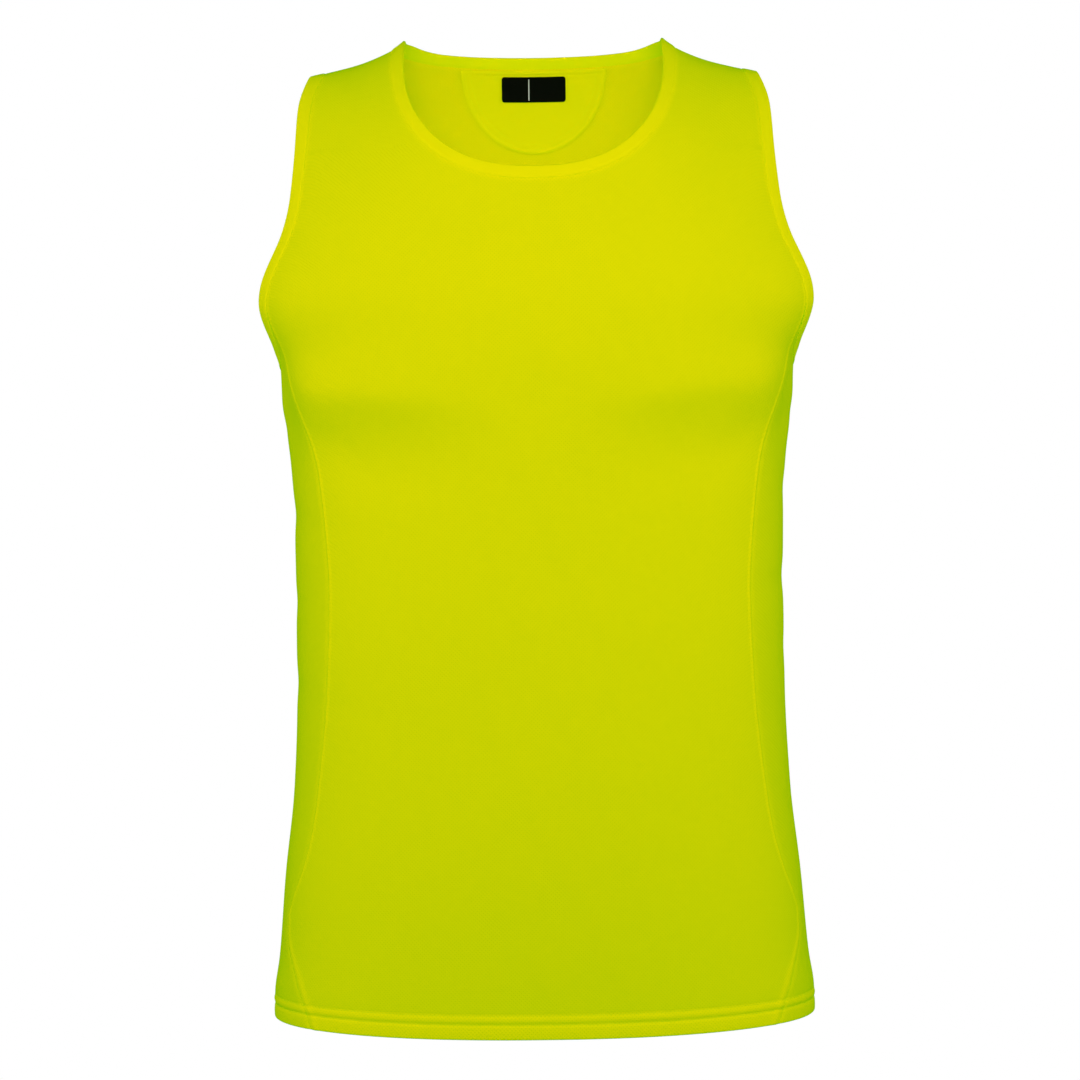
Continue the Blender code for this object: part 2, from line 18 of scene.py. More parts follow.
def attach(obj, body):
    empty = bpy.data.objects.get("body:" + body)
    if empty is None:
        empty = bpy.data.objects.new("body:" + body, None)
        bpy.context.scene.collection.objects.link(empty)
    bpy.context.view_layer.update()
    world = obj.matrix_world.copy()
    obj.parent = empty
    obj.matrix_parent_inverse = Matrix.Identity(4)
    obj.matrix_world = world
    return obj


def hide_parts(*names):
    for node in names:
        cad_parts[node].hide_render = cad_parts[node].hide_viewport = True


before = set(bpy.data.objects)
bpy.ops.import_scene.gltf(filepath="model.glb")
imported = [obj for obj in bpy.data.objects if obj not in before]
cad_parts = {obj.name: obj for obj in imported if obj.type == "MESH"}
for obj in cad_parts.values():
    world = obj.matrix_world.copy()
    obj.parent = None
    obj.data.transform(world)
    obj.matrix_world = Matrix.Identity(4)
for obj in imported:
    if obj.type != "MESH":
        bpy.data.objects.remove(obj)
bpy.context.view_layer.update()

MM = 0.001
FRONT = -1.0
BACK = 1.0
LEFT = 1
RIGHT = -1
BODY = "root"

# Driving sizes of the cut and the form
HEM_Z = -681.9              # the shoulder's neck point down to the hem
HEM_TURN = 17.5             # height of the hem that is turned up inside
HEM_RISE = 2.2              # how much higher the hem is at the sides
HEM_RISE_REACH = 90.0       # height over which the rise of the hem fades out
CLOTH = 1.2                 # wall of one ply
HEM_WALL = 2.2              # wall where the hem is turned up
SEAM_SLIT = 0.08            # gap left between two shells at a seam
CURVE_STEP = 0.2            # spacing at which the rounded curves are worked out
ROUNDNESS = 2.3             # exponent of a ring: 2 is an ellipse, more is squarer
ROOF_HEIGHT = 135.0         # height over which the shoulders round off to the ridge

NECK_HALF_WIDTH = 99.2      # neck seam, at the shoulder ridge
FRONT_NECK_DROP = 103.2     # neck seam, from the ridge down to the centre front
BACK_NECK_DROP = 2.2        # neck seam, from the ridge down to the centre back
NECK_CURVE = 2.4            # exponent of the neck's outline
NECK_CORNER = 73.0          # where the bottom of the neck turns up into its sides
NECK_BINDING = 8.8          # width of the neck's binding
NECK_CORNER_SHARE = 0.28    # how much wider it is at the ridge, where its edge turns
NECK_CORNER_REACH = 36.0    # length of seam over which it widens

ARMHOLE_ANGLE = 34.5        # degrees round a ring, from the side to the armhole seam
ARMHOLE_TURN_Z = -112.0     # below this the armhole seam curves in under the arm
ARMHOLE_LOW_Z = -228.3      # lowest point of the armhole seam
ARMHOLE_BINDING = 11.0      # width of an armhole's binding

SIDE_SEAM_TOP_Z = -178.0    # where a side panel's seams run into the armhole

BINDING_RISE = 0.5          # how far a binding stands proud of the panels, on each side
FACING_WALL = 1.0
FACING_CLEARANCE = 0.9      # the facing hangs this far inside the back
FACING_HALF_WIDTH = 53.5    # half-moon facing inside the back neck
FACING_TOP_Z = -7.0
FACING_DEPTH = 57.0
LABEL_WALL = 0.6
LABEL_WIDTH = 47.5          # label on the facing
LABEL_HEIGHT = 17.0
LABEL_TOP_Z = -10.6
LABEL_CLEARANCE = 0.4       # the label lies this far inside the facing
LABEL_CORNER = 2.0

# Rings of the form, from the shoulders down to the hem
Section = namedtuple("Section", "z half_width front_depth back_depth")
SECTIONS = [Section(*row) for row in (
    (20, 160, 62, 80), (0, 166, 68, 86), (-22, 174, 76, 91),
    (-46, 182.5, 85, 97), (-82, 185.5, 95, 105), (-116, 189.5, 103, 111),
    (-142, 195, 108.5, 114), (-158, 200.5, 111.5, 114.5), (-174, 204, 114, 114.5),
    (-186, 202.5, 115, 114), (-199, 195, 115.5, 113.5), (-213, 185, 115.5, 112.5),
    (-224, 180, 115, 112), (-254, 178, 112, 109.5), (-290, 174, 109, 106),
    (-330, 171.5, 107, 102.5), (-390, 170.8, 105.5, 99), (-450, 171, 106, 98.5),
    (-520, 174, 108, 102), (-580, 180.5, 110, 107), (-640, 185.5, 112, 110),
    (-664, 189, 112.5, 111), (-700, 189.5, 113, 111.5),
)]

# The shoulder ridge, as seen from the front; inside the neck it only shapes the form
RidgePoint = namedtuple("RidgePoint", "x z")
RIDGE = [RidgePoint(*row) for row in (
    (-40, 40), (0, 48), (40, 40), (70, 24), (81, 13.5), (92.5, 0),
    (111, -10), (125, -14.9), (142, -19), (153, -21.4), (175, -26.5), (210, -35),
)]

# Half the width of a side panel, measured from front to back, at each height
SeamPoint = namedtuple("SeamPoint", "z y")
SIDE_SEAM = [SeamPoint(*row) for row in (
    (-690, 73), (-664, 64), (-646, 54), (-632, 45), (-620, 39), (-606, 38),
    (-594, 43), (-575, 52), (-550, 57.5), (-514, 60), (-460, 63), (-390, 65),
    (-330, 62), (-281, 57), (-253, 52.5), (-227, 45), (-207, 50),
)]

# Soft swells and creases of the front and back: relief in mm outwards, length and
# breadth as half-sizes. The first sixteen are in the solids too.
Fold = namedtuple("Fold", "face x z length breadth angle relief")
FOLDS = [Fold(*row) for row in (
    (FRONT, 82, -186, 70, 52, 0, 3.2), (FRONT, -82, -186, 70, 52, 0, 3.2),
    (FRONT, 0, -205, 80, 26, 90, -1.6), (FRONT, 104, -242, 58, 29, 8, 5.0),
    (FRONT, -106, -245, 60, 29, -7, 5.2), (FRONT, 148, -240, 20, 27, 0, 3.8),
    (FRONT, -148, -246, 20, 27, 0, 4.0), (FRONT, 112, -291, 66, 27, 7, -3.6),
    (FRONT, -114, -294, 68, 27, -6, -3.8), (FRONT, 96, -338, 78, 42, 0, -2.0),
    (FRONT, -98, -342, 80, 42, 0, -2.1), (BACK, 78, -168, 72, 50, 0, 2.4),
    (BACK, -78, -168, 72, 50, 0, 2.4), (BACK, 0, -330, 150, 26, 90, -2.2),
    (BACK, 96, -410, 70, 16, 20, -1.8), (BACK, -104, -432, 64, 17, -16, -1.9),
    # the lower edge of the chest
    (FRONT, 106, -249, 56, 11, 8, 1.3), (FRONT, -108, -252, 58, 11, -7, 1.4),
    # beside the side seams, down from the armholes
    (FRONT, -172, -206, 36, 18, 80, 2.8), (FRONT, 172, -204, 35, 18, -80, 2.7),
    (FRONT, -152, -262, 26, 12, 84, 1.0), (FRONT, 153, -258, 26, 12, -84, 1.0),
    # from the side seams in towards the waist
    (FRONT, -136, -286, 44, 13, -48, -1.0), (FRONT, 138, -279, 38, 12, 52, -0.9),
    # drag lines on the shoulders and beside the neck
    (FRONT, -126, -78, 40, 10, -66, -0.6), (FRONT, 124, -84, 36, 9, 69, -0.5),
    (FRONT, -74, -122, 30, 12, -38, -0.5), (FRONT, 71, -118, 26, 12, 41, -0.5),
    # faint folds low on the front
    (FRONT, -118, -600, 52, 12, 78, -0.5), (FRONT, 131, -585, 60, 11, -81, -0.6),
    (FRONT, -40, -470, 90, 30, 62, -0.5), (FRONT, 52, -430, 80, 28, -58, -0.4),
    # the back
    (BACK, 150, -232, 38, 10, 66, -1.2), (BACK, -152, -238, 42, 10, -68, -1.4),
    (BACK, 118, -280, 50, 14, 32, -1.3), (BACK, -112, -290, 56, 15, -28, -1.4),
    (BACK, 60, -372, 58, 13, 14, -1.1), (BACK, -52, -388, 50, 12, -11, -1.0),
    (BACK, 18, -455, 66, 14, 4, -0.9), (BACK, -128, -520, 60, 12, 74, -0.7),
    (BACK, 122, -545, 70, 13, -77, -0.8), (BACK, 110, -60, 34, 12, 60, -0.6),
    (BACK, -108, -64, 38, 12, -57, -0.6),
)]

# Soft swells and creases of the side panels: under the arm, beside the seams, at the waist
SideFold = namedtuple("SideFold", "side y z length breadth angle relief")
SIDE_FOLDS = [SideFold(*row) for row in (
    (LEFT, 2, -256, 24, 22, 90, 1.3), (RIGHT, 2, -256, 24, 22, 90, 1.3),
    (LEFT, -34, -262, 46, 19, 90, -2.4), (LEFT, 36, -266, 44, 19, 90, -2.2),
    (RIGHT, -34, -264, 48, 19, 90, -2.5), (RIGHT, 35, -262, 45, 19, 90, -2.2),
    (LEFT, -12, -262, 34, 9, 12, -0.9), (LEFT, 16, -318, 40, 10, -9, -1.0),
    (LEFT, -8, -376, 44, 11, 7, -1.1), (LEFT, 14, -431, 36, 10, -13, -0.8),
    (LEFT, 4, -520, 60, 12, 82, -0.7), (RIGHT, 10, -270, 36, 9, -10, -0.9),
    (RIGHT, -14, -330, 42, 11, 8, -1.1), (RIGHT, 6, -392, 38, 10, -6, -0.9),
    (RIGHT, -10, -446, 40, 11, 14, -0.9), (RIGHT, -3, -530, 56, 12, 97, -0.7),
)]


# ---- the smooth form

def through(rows, column, by="z", soften=0.0):
    """A smooth curve through one column of a table, rounded over a distance."""
    rows = sorted(rows, key=lambda row: getattr(row, by))
    knots = np.array([getattr(row, by) for row in rows], float)
    values = np.array([getattr(row, column) for row in rows], float)
    step = np.diff(knots)
    rise = np.diff(values) / step
    turns = rise[:-1] * rise[1:] <= 0
    total = np.where(turns, 1.0, rise[:-1] + rise[1:])
    slope = np.concatenate([
        rise[:1],
        np.where(turns, 0.0, 2.0 * rise[:-1] * rise[1:] / total),
        rise[-1:],
    ])

    def exact(at):
        at = np.clip(at, knots[0], knots[-1])
        i = np.clip(np.searchsorted(knots, at, side="right") - 1, 0, len(step) - 1)
        t = (at - knots[i]) / step[i]
        start = (1 + 2 * t) * (1 - t) ** 2 * values[i]
        leave = t * (1 - t) ** 2 * step[i] * slope[i]
        finish = t * t * (3 - 2 * t) * values[i + 1]
        arrive = t * t * (t - 1) * step[i] * slope[i + 1]
        return start + leave + finish + arrive

    if not soften:
        return exact
    shifts = np.linspace(-1, 1, 7)
    weights = 1.1 - np.abs(shifts)
    fine = np.arange(knots[0] - 2 * soften, knots[-1] + 2 * soften, CURVE_STEP)
    parts = [w * exact(fine + soften * s) for w, s in zip(weights, shifts)]
    rounded = sum(parts) / weights.sum()
    return lambda at: np.interp(at, fine, rounded)


half_width = through(SECTIONS, "half_width", soften=9.0)
front_depth = through(SECTIONS, "front_depth", soften=14.0)
back_depth = through(SECTIONS, "back_depth", soften=14.0)
ridge_height = through(RIDGE, "z", by="x", soften=5.0)


def smooth(share):
    """A soft step from 0 to 1."""
    share = np.clip(share, 0.0, 1.0)
    return share * share * (3.0 - 2.0 * share)


def depth(z, y):
    """Depth of the ring at height z, on the side of the form where y lies."""
    return np.where(y < 0, front_depth(z), back_depth(z))


def roof(x, z):
    """Share of the ring's depth that is left under the shoulder ridge."""
    drop = np.clip((ridge_height(np.abs(x)) - z) / ROOF_HEIGHT, 0.0, 1.0)
    return np.sqrt(drop * (2.0 - drop))


def side_fade(x, z):
    """Share of the ring's depth that is left towards its sides."""
    across = np.clip(np.abs(x) / half_width(z), 0.0, 1.0)
    return (1.0 - across ** ROUNDNESS) ** (1.0 / ROUNDNESS)


def on_face(x, z, face):
    """Points of the form at x and z on the front or back."""
    x, z = np.broadcast_arrays(np.asarray(x, float), np.asarray(z, float))
    y = face * depth(z, np.full(z.shape, face)) * roof(x, z) * side_fade(x, z)
    return np.stack([x, y, z], axis=-1)


def on_side(y, z, side):
    """Points of the form at y and z on the wearer's left (+1) or right (-1)."""
    y, z = np.broadcast_arrays(np.asarray(y, float), np.asarray(z, float))
    along = np.clip(np.abs(y) / depth(z, y), 0.0, 1.0)
    x = side * half_width(z) * (1.0 - along ** ROUNDNESS) ** (1.0 / ROUNDNESS)
    return np.stack([x, y, z], axis=-1)


def on_ring(angle, z, side, face):
    """Points of the form at an angle round a ring, from the side to the centre."""
    x = half_width(z) * np.cos(np.radians(angle)) ** (2.0 / ROUNDNESS)
    return on_face(side * x, z, face)


def beyond(points):
    """How far points lie outside the form, as a value that is 0 on it."""
    x, y, z = points[..., 0], points[..., 1], points[..., 2]
    across = np.abs(x) / half_width(z)
    along = np.abs(y) / depth(z, y)
    below_roof = ridge_height(np.abs(x)) - z >= ROOF_HEIGHT
    ring = across ** ROUNDNESS + along ** ROUNDNESS - 1.0
    roofed = along ** 2 - (roof(x, z) * side_fade(x, z)) ** 2
    return np.where(below_roof, ring, roofed)


def slope_of_form(points):
    """Gradient of beyond(), by small steps each way."""
    reach = 0.02
    columns = []
    for axis in range(3):
        step = np.zeros(3)
        step[axis] = reach
        change = beyond(points + step) - beyond(points - step)
        columns.append(change / (2 * reach))
    return np.stack(columns, axis=-1)


def unit(vectors):
    return vectors / np.linalg.norm(vectors, axis=-1, keepdims=True)


def outward(points):
    """Unit normals of the form."""
    return unit(slope_of_form(points))


def back_on_form(points):
    """Points moved square to the form until they lie on it."""
    for _ in range(4):
        slope = slope_of_form(points)
        miss = beyond(points)[..., None]
        points = points - slope * miss / (slope ** 2).sum(axis=-1, keepdims=True)
    return points


def slide(points, towards, distance, steps=3):
    """Points moved over the form by a distance, in the direction given."""
    for _ in range(steps):
        normal = outward(points)
        level = towards - normal * (towards * normal).sum(axis=-1, keepdims=True)
        points = back_on_form(points + unit(level) * distance / steps)
    return points


def swell(right, up, fold):
    """Relief of one fold at places given from its middle."""
    turn = math.radians(fold.angle)
    along = (right * math.cos(turn) + up * math.sin(turn)) / fold.length
    across = (up * math.cos(turn) - right * math.sin(turn)) / fold.breadth
    return fold.relief * np.exp(-along ** 2 - across ** 2)


def relief(points):
    """Height of the swells and creases at points of the form."""
    x, y, z = points[..., 0], points[..., 1], points[..., 2]
    height = np.zeros(x.shape)
    for fold in FOLDS:
        height += smooth(fold.face * y / 70.0) * swell(x - fold.x, z - fold.z, fold)
    for fold in SIDE_FOLDS:
        height += smooth(fold.side * x / 90.0) * swell(y - fold.y, z - fold.z, fold)
    return height


# ---- the cut of the pieces

def armhole_angle(z):
    """Angle of the armhole seam round the ring at height z."""
    turned = np.clip((ARMHOLE_TURN_Z - z) / (ARMHOLE_TURN_Z - ARMHOLE_LOW_Z), 0.0, 1.0)
    return ARMHOLE_ANGLE * np.sqrt(1.0 - turned ** 2)


def armhole_point(z, side, face):
    return on_ring(armhole_angle(z), z, side, face)


def armhole_height(y):
    """Height of the armhole seam under the arm, at a place between front and back."""
    z = np.full(np.shape(y), ARMHOLE_LOW_Z)
    for _ in range(12):
        share = np.clip(np.abs(y) / depth(z, y), 0.0, 1.0)
        angle = np.degrees(np.arcsin(share ** (ROUNDNESS / 2.0)))
        turned = np.sqrt(np.clip(1.0 - (angle / ARMHOLE_ANGLE) ** 2, 0.0, 1.0))
        z = ARMHOLE_TURN_Z - turned * (ARMHOLE_TURN_Z - ARMHOLE_LOW_Z)
    return z


def shoulder_end():
    """Height at which the armhole seam crosses the shoulder ridge."""
    z = -20.0
    for _ in range(20):
        z = float(ridge_height(armhole_point(z, 1, BACK)[0]))
    return z


NECK_TOP_Z = float(ridge_height(NECK_HALF_WIDTH))


def neck_height(x, drop):
    """Height of the neck seam at a distance from the centre line."""
    share = np.clip(np.abs(x) / NECK_HALF_WIDTH, 0.0, 1.0)
    return NECK_TOP_Z - drop * (1.0 - share ** NECK_CURVE) ** (1.0 / NECK_CURVE)


def neck_reach(z, drop):
    """Distance of the neck seam from the centre line at height z."""
    share = np.clip((NECK_TOP_Z - z) / drop, 0.0, 1.0)
    return NECK_HALF_WIDTH * (1.0 - share ** NECK_CURVE) ** (1.0 / NECK_CURVE)


def neck_widening(seam):
    """How much wider than usual the neck's binding is at its seam's points."""
    away = np.hypot(np.abs(seam[:, 0]) - NECK_HALF_WIDTH, seam[:, 2] - NECK_TOP_Z)
    away = np.hypot(away, seam[:, 1])
    return 1.0 + NECK_CORNER_SHARE * np.exp(-(away / NECK_CORNER_REACH) ** 2)


SHOULDER_END_Z = shoulder_end()
SHOULDER_END_X = float(armhole_point(SHOULDER_END_Z, 1, BACK)[0])
YOKE_Z = float(neck_height(NECK_CORNER, FRONT_NECK_DROP))


def seam_reach(face):
    """Half the width of a side panel on one face, as a function of height."""
    top = armhole_point(SIDE_SEAM_TOP_Z, 1, face)
    rows = SIDE_SEAM + [SeamPoint(SIDE_SEAM_TOP_Z, abs(float(top[1])))]
    return through(rows, "y")


# ---- fine meshes

# Spacing of the meshes
EDGE_STEPS = (0.4, 0.4, 0.4, 0.5, 0.5, 0.6, 0.8, 1.0, 1.2, 1.5, 1.9, 2.4)
CELL = 3.2                  # spacing away from the edges
FOLD_STEPS = (0.12, 0.18, 0.25, 0.35, 0.5, 0.6, 0.8, 1.0, 1.2)
SEWN_STEP = 0.6             # spacing of the rows across the hem's sewing
PLAIN_STEP = 1.6            # spacing of the rows between the hem's fold and its sewing
RIB_STEP = 2.0              # spacing along the bindings
RING_STEP = 0.5             # spacing along the hem's stitched rows
SHOULDER_ROWS = 44          # rows from the neck's corner to the shoulder seam
HALF_MOON_POINTS = 121      # points along the facing's round edge
# rings of the facing and label, as shares of the way out to the edge
RING_SHARES = np.concatenate([np.linspace(0.06, 0.66, 12), [
    0.72, 0.76, 0.80, 0.835, 0.865, 0.89, 0.912, 0.93, 0.945, 0.96, 0.972, 0.983, 0.993, 1.0,
]])

# The hem's sewing, as heights over the folded edge
LOWER_STITCHES = 10.1
UPPER_STITCHES = 16.4
BETWEEN_STITCHES = (LOWER_STITCHES + UPPER_STITCHES) / 2
SEWN_FROM = LOWER_STITCHES - 2.4
SEWN_TO = UPPER_STITCHES + 2.6
HEM_LAST_ROW = 21.2
HEM_DETAIL_TOP = 24.0
# grooves under the stitched rows, the roll between them and the turn over the fold:
# height, place and reach
HEM_ROLLS = (
    (-0.55, LOWER_STITCHES, 1.1), (-0.30, UPPER_STITCHES, 0.9),
    (0.36, BETWEEN_STITCHES, 1.9), (0.20, 4.6, 3.2),
)
# waves of the cloth along a seam: height, length over 2 pi, and shift
PUCKER_WAVES = ((0.45, 1.49, 0.4), (0.35, 2.33, 2.1), (0.25, 3.71, 4.0))


def graded(length, both_ends=False):
    """Distances from 0 to length, closer together near 0 and, if asked, near the end."""
    near = np.concatenate([[0.0], np.cumsum(EDGE_STEPS)])
    far = length - near[::-1] if both_ends else np.array([length])
    room = far[0] - near[-1]
    count = max(int(round(room / CELL)), 1)
    return np.concatenate([near, np.linspace(near[-1], far[0], count + 1)[1:-1], far])


def hem_levels():
    """Heights of the rows over the folded edge, up to the top of the hem's sewing."""
    fold = np.concatenate([[0.0], np.cumsum(FOLD_STEPS)])
    plain = np.arange(fold[-1] + PLAIN_STEP, SEWN_FROM, PLAIN_STEP)
    sewn = np.arange(SEWN_FROM, SEWN_TO, SEWN_STEP)
    return np.concatenate([fold, plain, sewn, [HEM_LAST_ROW, HEM_DETAIL_TOP]])


def body_levels():
    """Heights of the rows from the hem to the top of the side seams."""
    start = HEM_Z + HEM_DETAIL_TOP
    rows = round((SIDE_SEAM_TOP_Z - start) / CELL)
    above = np.linspace(start, SIDE_SEAM_TOP_Z, rows + 1)[1:]
    return np.concatenate([HEM_Z + hem_levels(), above])


SEAM_LEVELS = body_levels()
ARMHOLE_LEVELS = (YOKE_Z - graded(YOKE_Z - SIDE_SEAM_TOP_Z))[::-1][1:]
SHOULDER_SHARES = np.sin(np.linspace(0.0, math.pi / 2, SHOULDER_ROWS + 1))[1:]


def quads(index):
    """Quads over a grid of point numbers."""
    corners = [index[:-1, :-1], index[:-1, 1:], index[1:, 1:], index[1:, :-1]]
    return np.stack([corner.ravel() for corner in corners], axis=-1).tolist()


def both_ways(outer, middle):
    """Values in the middle, with others beyond them on both sides."""
    return np.concatenate([-outer[::-1], middle, outer])


class Sheet:
    """Points on the form, with the quads between them and their place in the cut."""

    def __init__(self):
        self.points = np.zeros((0, 3))
        self.cut = np.zeros((0, 2))
        self.faces = []

    def add(self, grid):
        """Adds a grid of points, and gives the numbers that they get."""
        first = len(self.points)
        self.points = np.vstack([self.points, grid.reshape(-1, 3)])
        self.cut = np.vstack([self.cut, np.zeros((grid.size // 3, 2))])
        return np.arange(first, len(self.points)).reshape(grid.shape[:-1])

    def fill(self, index):
        """Lays quads over a grid of point numbers."""
        self.faces += quads(index)

    def lay_out(self, index, middle):
        """Unrolls a grid: lengths along its rows from a column, and up from its first row."""
        grid = self.points[index]
        across = np.linalg.norm(np.diff(grid, axis=1), axis=-1)
        across = np.pad(np.cumsum(across, axis=1), ((0, 0), (1, 0)))
        across -= across[:, middle:middle + 1]
        up = np.linalg.norm(np.diff(grid, axis=0), axis=-1)
        up = np.pad(np.cumsum(up, axis=0), ((1, 0), (0, 0)))
        start = self.cut[index[0, middle]]
        shift = grid[:, middle, 0] - grid[0, middle, 0]
        self.cut[index] = np.stack([
            start[0] + across + shift[:, None],
            start[1] + up,
        ], axis=-1)


def facing_out(points, faces):
    """The faces, turned over if they look into the form."""
    corners = points[faces[0]]
    across = np.cross(corners[1] - corners[0], corners[2] - corners[0])
    inward = np.dot(across, outward(corners[:1])[0]) < 0
    return [face[::-1] for face in faces] if inward else faces


def border(faces):
    """The edges that one face alone has, in the direction in which it runs."""
    edges = {edge for face in faces for edge in zip(face, face[1:] + face[:1])}
    return sorted(edge for edge in edges if edge[::-1] not in edges)


def drawn_in(points, faces, distance):
    """The points, with the sheet's border moved in over the form by a distance."""
    normal = outward(points)
    leaving, arriving = {}, {}
    for start, end in border(faces):
        inward = unit(np.cross(normal[start] + normal[end], points[end] - points[start]))
        leaving[start] = inward
        arriving[end] = inward
    moved = points.copy()
    for index, one in leaving.items():
        other = arriving[index]
        moved[index] += distance * (one + other) / (1.0 + np.dot(one, other))
    return moved


def panel_edge(face):
    """Half the width of the front or back at each of its levels up to the yoke."""
    seam = on_side(face * seam_reach(face)(SEAM_LEVELS), SEAM_LEVELS, 1)[:, 0]
    armhole = armhole_point(ARMHOLE_LEVELS, 1, face)[:, 0]
    return np.concatenate([seam, armhole])


def lower_part(sheet, face, shares, dip):
    """Fills a panel from the hem to the yoke; dip lowers the yoke's middle columns."""
    levels = np.concatenate([SEAM_LEVELS, ARMHOLE_LEVELS])
    reach = 150.0
    fade = np.clip((levels - (YOKE_Z - reach)) / reach, 0.0, 1.0) ** 2
    x = panel_edge(face)[:, None] * shares[None, :]
    z = levels[:, None] + fade[:, None] * dip[None, :]
    index = sheet.add(on_face(x, z, face))
    sheet.fill(index)
    sheet.lay_out(index, len(shares) // 2)
    return index


def strap_part(sheet, yoke, side, across):
    """Fills one front shoulder, between the neck's side and the armhole."""
    top_x = NECK_HALF_WIDTH + across * (SHOULDER_END_X - NECK_HALF_WIDTH)
    top_z = ridge_height(top_x)
    rows = [yoke]
    for share in SHOULDER_SHARES:
        z = YOKE_Z + share * (top_z - YOKE_Z)
        inner_x = float(neck_reach(z[0], FRONT_NECK_DROP))
        outer_x = float(armhole_point(z[-1], 1, FRONT)[0])
        x = inner_x + across * (outer_x - inner_x)
        rows.append(sheet.add(on_face(side * x, z, FRONT)))
    index = np.stack(rows)
    sheet.fill(index[:, ::side])
    start = sheet.cut[yoke].copy()
    sheet.lay_out(index, 0)
    across_cut = sheet.cut[index, 0] - start[0, 0]
    middle_shift = np.abs(sheet.points[index[:, 0], 0]) - np.abs(sheet.points[yoke[0], 0])
    run = across_cut - side * middle_shift[:, None]
    sheet.cut[index, 0] = start[0, 0] + side * (np.abs(run) + middle_shift[:, None])
    sheet.cut[yoke] = start
    return index


def front_sheet():
    """The front's sheet, with the point numbers along its neck and armholes."""
    sheet = Sheet()
    yoke_x = float(armhole_point(YOKE_Z, 1, FRONT)[0])
    corner = NECK_CORNER / yoke_x
    half = graded(NECK_CORNER) / NECK_CORNER * corner
    middle = np.concatenate([-corner + half, (corner - half)[-2::-1]])
    strap = graded(yoke_x - NECK_CORNER, both_ends=True) / (yoke_x - NECK_CORNER)
    outer = corner + (1.0 - corner) * strap[1:]
    shares = both_ways(outer, middle)
    wide = len(outer)
    dip = np.minimum(neck_height(shares * yoke_x, FRONT_NECK_DROP) - YOKE_Z, 0.0)
    body = lower_part(sheet, FRONT, shares, dip)
    right = strap_part(sheet, body[-1, wide::-1], RIGHT, strap)
    left = strap_part(sheet, body[-1, -wide - 1:], LEFT, strap)
    neck = np.concatenate([right[:0:-1, 0], body[-1, wide:-wide], left[1:, 0]])
    start = len(SEAM_LEVELS) - 1
    armholes = {
        RIGHT: np.concatenate([body[start:, 0], right[1:, -1]]),
        LEFT: np.concatenate([body[start:, -1], left[1:, -1]]),
    }
    return sheet, neck, armholes


def back_sheet():
    """The back's sheet, with the point numbers along its neck and armholes."""
    sheet = Sheet()
    half = NECK_HALF_WIDTH - graded(NECK_HALF_WIDTH)[::-1]
    neck_x = both_ways(half[1:], [0.0])
    width = SHOULDER_END_X - NECK_HALF_WIDTH
    shoulder = NECK_HALF_WIDTH + graded(width, both_ends=True)[1:]
    top_x = both_ways(shoulder, neck_x)
    on_neck = np.abs(top_x) <= NECK_HALF_WIDTH
    top_z = np.where(on_neck, neck_height(top_x, BACK_NECK_DROP), ridge_height(np.abs(top_x)))
    shares = top_x / SHOULDER_END_X
    body = lower_part(sheet, BACK, shares, np.zeros(len(shares)))
    rows = [body[-1]]
    for share in SHOULDER_SHARES:
        z = YOKE_Z + share * (top_z - YOKE_Z)
        edge_z = YOKE_Z + share * (SHOULDER_END_Z - YOKE_Z)
        edge_x = float(armhole_point(edge_z, 1, BACK)[0])
        rows.append(sheet.add(on_face(edge_x * shares, z, BACK)))
    top = np.stack(rows)
    sheet.fill(top)
    sheet.lay_out(np.concatenate([body, top[1:]]), len(shares) // 2)
    start = len(SEAM_LEVELS) - 1
    wide = len(shoulder)
    armholes = {
        RIGHT: np.concatenate([body[start:, 0], top[1:, 0]]),
        LEFT: np.concatenate([body[start:, -1], top[1:, -1]]),
    }
    return sheet, top[-1, wide:-wide], armholes


def side_sheet(side):
    """A side panel's sheet, with the point numbers along the armhole."""
    sheet = Sheet()
    reach = {face: seam_reach(face) for face in (FRONT, BACK)}
    typical = reach[FRONT](SIDE_SEAM_TOP_Z)
    half = 1.0 - graded(typical)[::-1] / typical
    shares = np.concatenate([-half[::-1], half[1:]])
    faces = np.where(shares < 0, FRONT, BACK)
    top_y = np.array([s * reach[f](SIDE_SEAM_TOP_Z) for s, f in zip(shares, faces)])
    fall = armhole_height(top_y) - SIDE_SEAM_TOP_Z
    fall[[0, -1]] = 0.0
    span = 170.0
    fade = np.clip((SEAM_LEVELS - (SIDE_SEAM_TOP_Z - span)) / span, 0.0, 1.0) ** 2
    width = np.where(shares < 0, reach[FRONT](SEAM_LEVELS)[:, None],
                     reach[BACK](SEAM_LEVELS)[:, None])
    index = sheet.add(on_side(width * shares, SEAM_LEVELS[:, None] + fade[:, None] * fall, side))
    sheet.fill(index)
    sheet.lay_out(index, len(shares) // 2)
    return sheet, index[-1]


def ringed(outline, middle):
    """A sheet on the back within an outline of x and z, as rings round its middle."""
    sheet = Sheet()
    centre = sheet.add(on_face(middle[0], middle[1], BACK)[None])
    plan = middle + RING_SHARES[:, None, None] * (outline - middle)
    index = sheet.add(on_face(plan[..., 0], plan[..., 1], BACK))
    turn = closed(index.T).T
    sheet.fill(turn)
    for one, two in zip(turn[0][:-1], turn[0][1:]):
        sheet.faces.append([int(centre[0]), int(two), int(one)])
    sheet.cut = sheet.points[:, [0, 2]]
    return sheet


